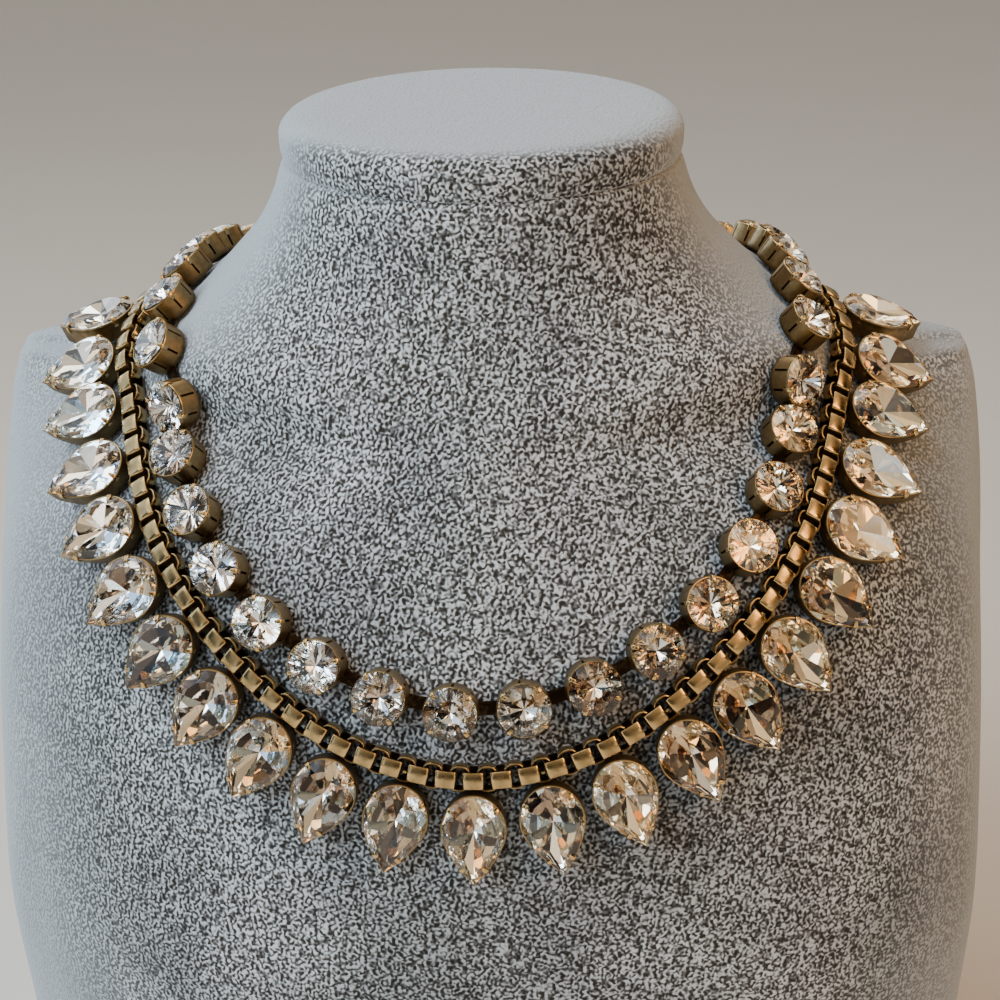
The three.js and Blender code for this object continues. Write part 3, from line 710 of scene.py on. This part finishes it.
# The last strip of an end cup, into the clasp's pocket.
def tailBody(cup, way):
    inside = claspSize[0] / 2 - claspMake["pocket"] + claspMake["tailIn"]
    pocket = raised(claspPlace, claspSize[2] / 2) + claspPlace["x"] * way * inside
    start = raised(cup, stripMake["height"])
    path = bentLine([start, (start + pocket) / 2, pocket])
    side = np.cross(cup["n"], unit(pocket - cup["p"]))
    return sweptBar(path, side, stripMake["width"], stripMake["thick"], claspMake["tailTarnish"])


linkMake = {
    "packedFace": (2.95 * mm, 2.45 * mm),
    "depth": 3.5 * mm,
    "wall": 0.45 * mm,
    "bowPoints": 7,
    "broad": {"length": 3.4 * mm, "deep": 3.5 * mm, "band": 2.8 * mm, "corner": 0.16 * mm, "bow": 0.1 * mm},
    "edge": {"length": 3.3 * mm, "deep": 4.05 * mm, "band": 2.0 * mm, "corner": 0.95 * mm, "bow": 0.12 * mm},
    # painted shade at the links' ends, and across their faces, deepest at each face's middle
    "endTarnish": 0.6,
    "faceTarnish": 0.42,
}


# Frames of the links. A broad link's flat face is two triangles: their long side's middle is the face's,
# and half the link's depth below it is the link's. A narrow link stands halfway between two broad ones.
def linkFrames():
    long, wide = linkMake["packedFace"]
    triangles = nodeTriangles("box_chain")
    normals, areas = normalsAndAreas(triangles)
    chosen = np.abs(areas / (long * wide / 2) - 1) < 0.004
    triangles, normals = triangles[chosen], normals[chosen]
    sides = triangles - np.roll(triangles, -1, axis=1)
    longest = np.linalg.norm(sides, axis=2).argmax(1)
    pick = np.arange(len(triangles))
    faceMiddle = (triangles[pick, longest] + triangles[pick, (longest + 1) % 3]) / 2
    middles = faceMiddle - normals * linkMake["depth"] / 2
    near = np.linalg.norm(middles[:, None] - middles[None], axis=2) < 1 * mm
    label = np.unique(near.argmax(1), return_inverse=True)[1]
    p = summedBy(label, middles) / np.bincount(label)[:, None]
    outward = np.sign((normals * (middles - neckMiddle + [0, 0, 60 * mm])).sum(1))[:, None]
    n = unit(summedBy(label, normals * outward))
    order = np.argsort(turnRoundNeck(p))
    p, n = p[order], n[order]
    places = np.empty((2 * len(p) - 1, 3))
    ups = np.empty_like(places)
    places[::2], ups[::2] = p, n
    places[1::2], ups[1::2] = (p[1:] + p[:-1]) / 2, unit(n[1:] + n[:-1])
    return framesAt(places, squareTo(np.gradient(places, axis=0), ups), ups)


# A link: a flat band carried round a rectangle in the plane of x and the deep axis. Its corners are arcs,
# its front and back are bowed like a parabola, and the band's own section is a thin bar with eased edges.
def linkBody(size, deepAxis, bandAxis):
    wall = linkMake["wall"]
    a, b = size["length"] / 2 - wall / 2, size["deep"] / 2 - wall / 2
    corner, bow = size["corner"], size["bow"]
    share = np.linspace(-1, 1, linkMake["bowPoints"])[1:-1] * (a - corner)
    front = np.column_stack([-share, np.full(len(share), b), np.zeros(len(share)), np.ones(len(share))])
    arcs = []
    for k, (sx, sy) in enumerate([(1, 1), (-1, 1), (-1, -1), (1, -1)]):
        turn = np.linspace(0, math.pi / 2, 4) + k * math.pi / 2
        cos, sin = np.cos(turn), np.sin(turn)
        x, y = sx * (a - corner) + corner * cos, sy * (b - corner) + corner * sin
        arcs.append(np.column_stack([x, y, cos, sin]))
    loop = np.concatenate([arcs[0], front, arcs[1], arcs[2], -front, arcs[3]])
    slope = 2 * bow * loop[:, 0] / (a * a) * np.abs(loop[:, 3])
    loop[:, 1] += np.sign(loop[:, 1]) * bow * (1 - (loop[:, 0] / a) ** 2)
    loop[:, 2] += slope
    loop[:, 2:] = unit(loop[:, 2:])
    band = size["band"] / 2
    section = np.array([
        [-band, -0.3], [-band + 0.06 * mm, -0.5], [band - 0.06 * mm, -0.5], [band, -0.3], [band, 0.32],
        [band - 0.09 * mm, 0.5], [-band + 0.09 * mm, 0.5], [-band, 0.32],
    ])
    out = section[:, 1] * wall
    ring = np.zeros((len(loop), len(section), 3))
    ring[:, :, 0] = loop[:, None, 0] + loop[:, None, 2] * out
    ring[:, :, deepAxis] = loop[:, None, 1] + loop[:, None, 3] * out
    ring[:, :, bandAxis] = section[:, 0]
    # Painted shade and patina: the band's inside is fully dark. Painted shade darkens the ends where the
    # links meet, and each face deepens to its middle, leaving its side edges bright like painted highlights.
    inside = section[:, 1] < -0.2
    face = linkMake["faceTarnish"] * (1 - np.minimum(np.abs(loop[:, 0] / a), 1) ** 2)
    side = np.where(np.abs(loop[:, 3]) < 0.3, linkMake["endTarnish"], face)
    faces = gridQuads(len(loop), len(section), True)
    faces = faces if deepAxis < bandAxis else faces[:, ::-1]
    return ring.reshape(-1, 3), faces, np.maximum(inside[None], side[:, None]).ravel()


links = linkFrames()
broadLocal = linkBody(linkMake["broad"], 2, 1)
edgeLocal = linkBody(linkMake["edge"], 1, 2)
linkBodies = [carried(edgeLocal if number % 2 else broadLocal, place) for number, place in enumerate(links)]
chainPiece = brassPiece("box_links", linkBodies, 50)
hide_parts("box_chain")
print("links made:", len(links))

eyeMake = {
    "loop": {"length": 2.4 * mm, "deep": 3.9 * mm, "band": 0.8 * mm, "corner": 0.6 * mm, "bow": 0.0},
    "height": 1.5 * mm,
    "tarnishAndShade": 0.35,
}


# The eye at each end of the box chain: a flat loop round the last link's end, on a bar from the cup beyond.
def eyeBody(link, way):
    away = np.array([cup["p"] - link["p"] for cup in cups])
    beyond = way * (away @ link["x"]) > 0
    cup = cups[int(np.argmin(np.where(beyond, np.linalg.norm(away, axis=1), 1.0)))]
    size, wall, tarnishAndShade = eyeMake["loop"], linkMake["wall"], eyeMake["tarnishAndShade"]
    bar = link["p"] + link["x"] * way * (linkMake["broad"]["length"] - wall) / 2
    near = bar + link["x"] * way * (size["length"] - wall) / 2
    points, faces = linkBody(size, 1, 2)[:2]
    eye = carried((points, faces, np.full(len(points), tarnishAndShade)), {**link, "p": bar})
    start = raised(cup, eyeMake["height"])
    path = start + np.linspace(0, 1, 6)[:, None] * (near - start)
    side = np.cross(cup["n"], unit(near - start))
    return [eye, sweptBar(path, side, size["band"], size["band"], tarnishAndShade)]


strips = [stripBody(one, two) for one, two in zip(cups[:-1], cups[1:])]
tails = [tailBody(cups[-1], -1), tailBody(cups[0], 1)]
eyes = eyeBody(links[0], -1) + eyeBody(links[-1], 1)
stripPiece = brassPiece("strips_and_eyes", [*strips, *tails, *eyes], 40)
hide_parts("cup_chain")


girdleCount = 32


# A cut stone over any outline. Girdle points lie on the outline; the crown rises over kites, each in a plane
# with its girdle corner's tangent and its table corner, with star facets to the table and split facets to
# the girdle; the back does the same down to the culet. Returns points, facets and their kinds: 1 and 5 split
# facets, 2 and 6 kites, 3 stars and 4 the table, so that the back's are above 4.
def cutStone(outline, make):
    turn = np.arange(girdleCount) * 2 * math.pi / girdleCount
    girdle = outline(turn)
    tangent = unit(outline(turn + 0.01) - outline(turn - 0.01))
    inward = np.stack([-tangent[:, 1], tangent[:, 0]], 1)
    points = [np.column_stack([girdle, np.zeros(girdleCount)])]
    kinds = []

    # how far middles of facets lie inside the outline's tangent at some girdle corners
    def inside(middles, corners):
        return ((middles - girdle[corners]) * inward[corners]).sum(1)

    # one side of the stone: a ring of middle points and then its inner corners, which may be one point
    def half(inner, innerPoints, middleShare, kind):
        sectors, start = len(inner), sum(map(len, points))
        step = girdleCount // sectors
        corner = np.arange(sectors) * step
        following = np.roll(corner, -1)
        slope = innerPoints[0, 2] / np.maximum(inside(inner, corner), 1e-6)
        pairs = (inner + np.roll(inner, -1, axis=0)) / 2
        middle = pairs + middleShare * (girdle[corner + step // 2] - pairs)
        height = (inside(middle, corner) * slope + inside(middle, following) * np.roll(slope, -1)) / 2
        points.extend([np.column_stack([middle, height]), innerPoints])
        facets = []
        for k in range(sectors):
            m, before = start + k, start + (k - 1) % sectors
            tip = start + sectors + k % len(innerPoints)
            edge = [(corner[k] + i) % girdleCount for i in range(step + 1)]
            facets += [[m, *edge[: step // 2 + 1]], [m, *edge[step // 2:]], [before, edge[0], m, tip]]
            kinds.extend([kind, kind, kind + 1])
        return facets, start

    sectors = make["crownSectors"]
    table = make["tableShift"] + make["table"] * girdle[:: girdleCount // sectors]
    tablePoints = np.column_stack([table, np.full(sectors, make["crown"])])
    facets, start = half(table, tablePoints, make["crownMiddle"], 1)
    rim = start + sectors
    facets += [[rim + k, start + k, rim + (k + 1) % sectors] for k in range(sectors)]
    facets.append([rim + k for k in range(sectors)])
    kinds.extend([3] * sectors + [4])

    culet = np.broadcast_to(make["culet"], (make["pavilionSectors"], 2))
    culetPoint = np.array([[*make["culet"], -make["pavilion"]]])
    back = half(culet, culetPoint, make["pavilionMiddle"], 5)[0]
    return np.concatenate(points), facets + [facet[::-1] for facet in back], np.array(kinds)


roundMake = {
    "crownSectors": 8,
    "table": 0.58,
    "tableShift": np.zeros(2),
    "crown": 1.1 * mm,
    "crownMiddle": 0.42,
    "pavilionSectors": 16,
    "pavilion": 2.75 * mm,
    "pavilionMiddle": 0.45,
    "culet": np.zeros(2),
    "tilt": 0.02,
    "lift": 0.05 * mm,
}


def circleOutline(turn):
    return cupMake["girdle"] * np.stack([np.cos(turn), np.sin(turn)], 1)


# Painted reflections: the silvered facets' base colours stand for the surroundings they mirror.
paintedReflectionLook = {
    "paintedReflections": [
        [0.98, 0.97, 0.95], [0.8, 0.68, 0.5], [0.42, 0.31, 0.22], [0.76, 0.9, 1.0], [0.07, 0.055, 0.045],
    ],
    "shares": [0.42, 0.18, 0.14, 0.12, 0.14],
    "kites": [1, 0, 3, 0, 1, 2, 2, 1],  # a drop's big back facets, from the tip round by the right
    "kiteShare": 0.7,
    "dimmest": 0.85,
    # painted lamp light: stones to the right are tinted warm, those to the left cool
    "paintedLampTint": [0.06, 0.0, -0.1],
    "paintedLampReach": 60 * mm,  # how far right of the middle a stone is fully warm
}


# Painted reflections on silvered facets: mostly bright, some tan, some brown, some near black; most of a
# drop's big back facets have a set tone each. Painted lamp light tints a stone warmer to the right and
# cooler to the left.
def paintedFacetReflections(kinds, place, setKites=False):
    look = paintedReflectionLook
    paintedLampWarmth = np.clip(place["p"][0] / look["paintedLampReach"], -1, 1)
    picked = rng.choice(len(look["paintedReflections"]), len(kinds), p=look["shares"])
    if setKites:
        kites = np.flatnonzero(kinds == 6)
        wanted = np.array(look["kites"])[np.arange(len(kites)) % len(look["kites"])]
        picked[kites] = np.where(rng.random(len(kites)) < look["kiteShare"], wanted, picked[kites])
    paintedReflection = np.array(look["paintedReflections"])[picked] * rng.uniform(look["dimmest"], 1.0, (len(kinds), 1))
    return np.clip(paintedReflection * (1 + paintedLampWarmth * np.array(look["paintedLampTint"])), 0, 1)


# A mesh of cut stones: crown facets clear, back facets silvered with a painted reflection tone each.
def stonePiece(name, stones):
    points, facets, kinds, paintedReflections = zip(*stones)
    starts = np.cumsum([0, *map(len, points)])
    corners = [[start + i for i in facet] for stone, start in zip(facets, starts) for facet in stone]
    mesh = newMesh(name, np.concatenate(points).tolist(), corners, crystal, foil)
    mesh.polygons.foreach_set("material_index", (np.concatenate(kinds) > 4).astype(np.int32))
    sizes = [len(facet) for facet in corners]
    colours = np.column_stack([np.repeat(np.concatenate(paintedReflections), sizes, axis=0), np.ones(sum(sizes))])
    paintedReflection = mesh.attributes.new("paintedReflection", "FLOAT_COLOR", "CORNER")
    paintedReflection.data.foreach_set("color", colours.ravel().astype(np.float32))
    return addPiece(name, mesh)


rng = np.random.default_rng(17)
roundPoints, roundFacets, roundKinds = cutStone(circleOutline, roundMake)
roundStones = []
for place in cups:
    turn = rng.uniform(0, 2 * math.pi)
    tilt = rng.normal(0, roundMake["tilt"], 2)
    turned = roundPoints @ np.array(Matrix.Rotation(turn, 3, "Z")).T
    turned = turned @ np.array(Matrix.Rotation(tilt[0], 3, "X") @ Matrix.Rotation(tilt[1], 3, "Y")).T
    seat = {**place, "p": raised(place, cupMake["wall"] + roundMake["lift"])}
    stone = (turned, roundFacets, roundKinds, paintedFacetReflections(roundKinds, place))
    roundStones.append(carried(stone, seat))
roundPiece = stonePiece("round_stones", roundStones)
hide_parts("cup_chain")
print("round stones made")


dropMake = {
    "packedSides": 10,
    "wall": 0.35 * mm,
    "rim": 0.17 * mm,
    "gap": 0.22 * mm,
    "floor": 0.8 * mm,
    "depth": 3.6 * mm,
    "shoulder": 0.4,
    "bulge": 1.65,
    "columns": 72,
    "clawTurns": [0.42, 2.25, -2.25, -0.42],
}
dropClawMake = {
    "profile": [
        [0.1, -1.2], [-0.12, -0.6], [-0.14, 0.0], [0.08, 0.42], [0.45, 0.62], [0.85, 0.78], [1.0, 0.8],
    ],
    "widths": [0.85, 0.85, 0.8, 0.75, 0.66, 0.5, 0.2],
    "thick": 0.32 * mm,
    "tarnishAndShade": 0.1,
}
pearMake = {
    "crownSectors": 16,
    "table": 0.74,
    "crown": 1.2 * mm,
    "crownMiddle": 0.45,
    "pavilionSectors": 8,
    "pavilion": 2.6 * mm,
    "pavilionMiddle": 0.72,
    "spread": 0.055,
    "culetAt": 0.42,  # of the length, from the round end
    "tableLean": 0.6,
    "lift": 0.1 * mm,
}
hookMake = {
    "thick": 0.4 * mm,
    "width": 0.6 * mm,
    "broad": [(0, 0.9), (0, 0), (1.7, -0.1)],
    "edge": [(0.8, -0.1), (0.8, -1.6), (2.15, -1.6)],
    "inSetting": 0.6 * mm,
    "tarnishAndShade": 0.3,
}


# Frame and sizes of a drop's stone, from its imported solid: its largest flat face is the table, and the
# corner furthest from the table's middle is the tip.
def dropFrame(name):
    size, centre, normal = flatFaces(name, 20 * mm)
    table = size.argmax()
    n = normal[table]
    corners = nodeTriangles(name).reshape(-1, 3)
    away = corners - centre[table]
    flat = away - (away @ n)[:, None] * n
    x = unit(flat[np.linalg.norm(flat, axis=1).argmax()])
    y = np.cross(n, x)
    along, across, heights = corners @ x, corners @ y, corners @ n
    p = x * (along.min() + along.max()) / 2 + y * (across.min() + across.max()) / 2 + n * heights.min()
    slack = 2 * (dropMake["wall"] + dropMake["gap"])
    return {
        "p": p - n * (dropMake["floor"] + dropMake["gap"]),
        "x": x,
        "y": y,
        "n": n,
        "length": np.ptp(along) + slack,
        "width": np.ptp(across) / math.cos(math.pi / dropMake["packedSides"]) + slack,
    }


# Outline of a pear: a half ellipse at one end, then sides whose half width falls as 1 - s^bulge to the tip.
def pearOutline(turn, length, width):
    roundPart = dropMake["shoulder"] * length
    taper = length - roundPart
    cos, sin = np.cos(turn), np.sin(turn)
    share = np.maximum(1 - np.abs(sin), 0) ** (1 / dropMake["bulge"])
    x = np.where(cos <= 0, roundPart * cos, taper * share) + roundPart - length / 2
    return np.stack([x, width / 2 * sin], 1)


# Turns round a pear at even steps along its outline, with one at the tip; spread sets them wider at the tip.
def evenTurns(count, length, width, spread=0.0):
    fine = np.linspace(0, 2 * math.pi, 721)
    line = pearOutline(fine, length, width)
    run = np.concatenate([[0], np.cumsum(np.linalg.norm(np.diff(line, axis=0), axis=1))])
    share = np.arange(count) / count
    return np.interp((share + spread * np.sin(2 * math.pi * share)) * run[-1], run, fine)


# The setting: rows of the outline drawn in by an inset and raised to a height, closed below and inside.
def settingBody(length, width):
    top, wall = dropMake["depth"] / mm, dropMake["wall"] / mm
    # the third column darkens the brass with patina and painted shade: most inside and at the foot, least at
    # the rim
    rows = np.array([
        [3.0, 0, 0.9], [0.55, 0, 0.9], [0.2, 0.06, 0.85], [0.05, 0.25, 0.75], [0.02, 0.8, 0.7],
        [0.02, 2.6, 0.65], [0.0, top - 0.55, 0.7], [-0.06, top - 0.35, 0.8], [-0.08, top - 0.1, 0.6],
        [-0.02, top + 0.04, 0.45], [0.12, top + 0.1, 0.45], [0.26, top + 0.04, 0.6], [wall, top - 0.2, 0.9],
        [wall, 1.0, 1], [3.0, 0.85, 1],
    ])
    inset, height, dark = rows.T
    turns = evenTurns(dropMake["columns"], length, width)
    scale = 1 - 2 * (inset * mm)[:, None, None] / np.array([length, width])
    ring = pearOutline(turns, length, width) * scale
    height = np.broadcast_to((height * mm)[:, None, None], (*ring.shape[:2], 1))
    points, faces = tube(np.concatenate([ring, height], 2))
    return points, faces, np.concatenate([np.repeat(dark, len(turns)), [0.8, 1.0]])


# A drop's claw, from the wall over the rim onto the stone, square to the outline.
def dropClaw(turn, length, width):
    at = pearOutline(np.array([turn]), length, width)[0]
    tangent = unit(pearOutline(np.array([turn + 0.01]), length, width)[0] - at)
    inward = np.array([-tangent[1], tangent[0], 0])
    return clawBar(np.array([*at, dropMake["depth"]]), inward, np.array([*tangent, 0]), dropClawMake)


# A drop's hook: from inside its link, the nearest to the drop's round end, out to the setting's foot.
def hookBody(place):
    neck = place["p"] - place["x"] * (place["length"] / 2 + 2.2 * mm) + place["n"] * 1.5 * mm
    number = int(np.linalg.norm([link["p"] - neck for link in links], axis=1).argmin())
    link = links[number]
    bends = hookMake["edge" if number % 2 else "broad"]
    inLink = [link["p"] - link["y"] * out * mm + link["n"] * up * mm for out, up in bends]
    foot = raised(place, dropMake["floor"] / 2) + place["x"] * (hookMake["inSetting"] - place["length"] / 2)
    path = bentLine([*inLink, foot])
    return sweptBar(path, link["x"], hookMake["width"], hookMake["thick"], hookMake["tarnishAndShade"])


# A drop's setting: its cup and claws in their place, and its hook.
def dropSetting(place):
    size = place["length"], place["width"]
    claws = [dropClaw(turn, *size) for turn in dropMake["clawTurns"]]
    return [carried(stacked([settingBody(*size), *claws]), place), hookBody(place)]


# A drop's stone, cut to the outline inside the rim, with its culet towards the round end.
def dropStone(place):
    length, width = place["length"] - 2 * dropMake["rim"], place["width"] - 2 * dropMake["rim"]
    culet = np.array([(pearMake["culetAt"] - 0.5) * length, 0])
    shift = culet * (1 - pearMake["table"]) * pearMake["tableLean"]
    turns = evenTurns(girdleCount, length, width, pearMake["spread"])
    steps = np.arange(girdleCount + 1) * 2 * math.pi / girdleCount

    def outline(turn):
        return pearOutline(np.interp(turn, steps, [*turns, 2 * math.pi]), length, width)

    points, facets, kinds = cutStone(outline, {**pearMake, "culet": culet, "tableShift": shift})
    seat = {**place, "p": raised(place, dropMake["depth"] + pearMake["lift"])}
    return carried((points, facets, kinds, paintedFacetReflections(kinds, place, True)), seat)


dropNames = sorted(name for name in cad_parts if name.startswith("pear_stone"))
for number, name in enumerate(dropNames, 1):
    place = dropFrame(name)
    setting = brassPiece(f"drop_setting_{number:02d}", dropSetting(place), 40)
    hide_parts(name.replace("stone", "setting"))
    piece = stonePiece(f"drop_stone_{number:02d}", [dropStone(place)])
    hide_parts(name)
print("drops made:", len(dropNames))


cameraMake = {
    "right": 16.2 * mm,
    "front": 325.5 * mm,
    "height": 268.9 * mm,
    "turn": 2.47,
    "down": 22.98,
    "roll": -0.96,
    "lens": 68.4,
}


def makeCamera():
    data = bpy.data.cameras.new("camera")
    data.lens = cameraMake["lens"]
    camera = newObject("camera", data)
    x, y = neckMiddle[0] + cameraMake["right"], neckMiddle[1] - cameraMake["front"]
    look = (
        Matrix.Rotation(math.radians(cameraMake["turn"]), 4, "Z")
        @ Matrix.Rotation(math.radians(90 - cameraMake["down"]), 4, "X")
        @ Matrix.Rotation(math.radians(cameraMake["roll"]), 4, "Z")
    )
    camera.matrix_world = Matrix.Translation((x, y, cameraMake["height"])) @ look
    bpy.context.scene.camera = camera


floorMake = {"reach": 3.0, "surface": {"Base Color": (0.62, 0.57, 0.5, 1), "Roughness": 0.9}}


def makeFloor():
    reach = floorMake["reach"]
    corners = [(-reach, -reach, 0), (reach, -reach, 0), (reach, reach, 0), (-reach, reach, 0)]
    finish = newMaterial("pale_floor", floorMake["surface"])[0]
    floor = newObject("floor", newMesh("floor", corners, [(0, 1, 2, 3)], finish))


# Lights: the window and the fill cast no veil on the stones' tables.
lightMakes = {
    "window": {
        "place": (-0.54, -0.4, 0.66), "size": (0.6, 0.7), "power": 13.5, "colour": (0.78, 0.9, 1.0),
        "hiddenFrom": ["glossy"],
    },
    "fill": {
        "place": (-0.32, -0.88, 0.06), "size": (0.6, 0.4), "power": 2.2, "colour": (0.72, 0.87, 1.0),
        "hiddenFrom": ["glossy", "transmission"],
    },
    "lamp": {
        "place": (0.42, -0.3, 0.5), "size": (0.3, 0.4), "power": 2.5, "colour": (1.0, 0.56, 0.24),
    },
    "overhead": {
        "place": (-0.15, 0.12, 0.85), "size": (0.5, 0.3), "power": 2.2, "colour": (0.96, 0.98, 1.0),
    },
}


# A soft box that faces a point on the chest.
def makeLight(name, make):
    data = bpy.data.lights.new(name, "AREA")
    data.shape = "RECTANGLE"
    data.size, data.size_y = make["size"]
    data.energy = make["power"]
    data.color = make["colour"]
    light = newObject(name, data)
    light.location = make["place"]
    aim = Vector((neckMiddle[0], neckMiddle[1] - 40 * mm, 130 * mm)) - light.location
    light.rotation_euler = aim.to_track_quat("-Z", "Y").to_euler()
    for ray in make.get("hiddenFrom", []):
        setattr(light, f"visible_{ray}", False)


# Colours by direction, each over the last where the direction's part runs from one value to the other.
studioLook = {
    "below": (0.2, 0.17, 0.14),
    "over": [
        ("Z", -0.1, 0.5, (0.85, 0.72, 0.55)),  # above
        ("X", -0.25, -0.7, (1.5, 1.8, 2.15)),  # left
        ("X", 0.3, 0.75, (0.34, 0.26, 0.19)),  # right
        ("Y", -0.8, -0.95, (0.12, 0.11, 0.1)),  # front
    ],
    "plain": (0.75, 0.74, 0.72),
    "panels": [(0.0, 0.03), (0.25, 0.5), (0.5, 1.0), (0.75, 2.6)],
    "panelScale": 1.5,
    "strength": 0.6,
    "mirrored": 1.6,
}


# Surroundings by direction: brown below, tan above, daylight on the left, dim and warm on the right, dark
# straight in front, all broken into bright and dark panels for the facets. Seen directly they are plain.
def makeWorld():
    world = bpy.data.worlds.new("studio")
    bpy.context.scene.world = world
    world.use_nodes = True
    tree = world.node_tree
    way = addNode(tree, "ShaderNodeTexCoord").outputs["Generated"]
    parts = addNode(tree, "ShaderNodeSeparateXYZ", way).outputs
    colour = studioLook["below"]
    for axis, start, end, over in studioLook["over"]:
        colour = mixColours(tree, mapRange(tree, parts[axis], start, end), colour, over)
    panels = addNode(tree, "ShaderNodeTexVoronoi", Vector=way, Scale=studioLook["panelScale"])
    chance = addNode(tree, "ShaderNodeSeparateColor", panels.outputs["Color"]).outputs[0]
    ramp = colourRamp(tree, chance, [(at, (value,) * 3) for at, value in studioLook["panels"]])
    ramp.color_ramp.interpolation = "CONSTANT"
    lit = mixColours(tree, 1.0, colour, ramp.outputs["Color"], "MULTIPLY")
    ray = addNode(tree, "ShaderNodeLightPath").outputs
    # what the stones and the brass mirror is brighter than what lights the velvet
    matt = mathNode(tree, "MAXIMUM", ray["Is Camera Ray"], ray["Is Diffuse Ray"])
    feedAll(tree, tree.nodes["Background"], {
        "Color": mixColours(tree, ray["Is Camera Ray"], lit, studioLook["plain"]),
        "Strength": mapRange(tree, matt, 0.0, 1.0, studioLook["mirrored"], studioLook["strength"], "LINEAR"),
    })


makeCamera()
makeFloor()
makeWorld()
for name, make in lightMakes.items():
    makeLight(name, make)
# light keeps passing to and fro inside the stones, so it may turn more often than usual
paths = bpy.context.scene.cycles
paths.max_bounces = 24
paths.glossy_bounces = 16
paths.transmission_bounces = 24

print("scene ready")
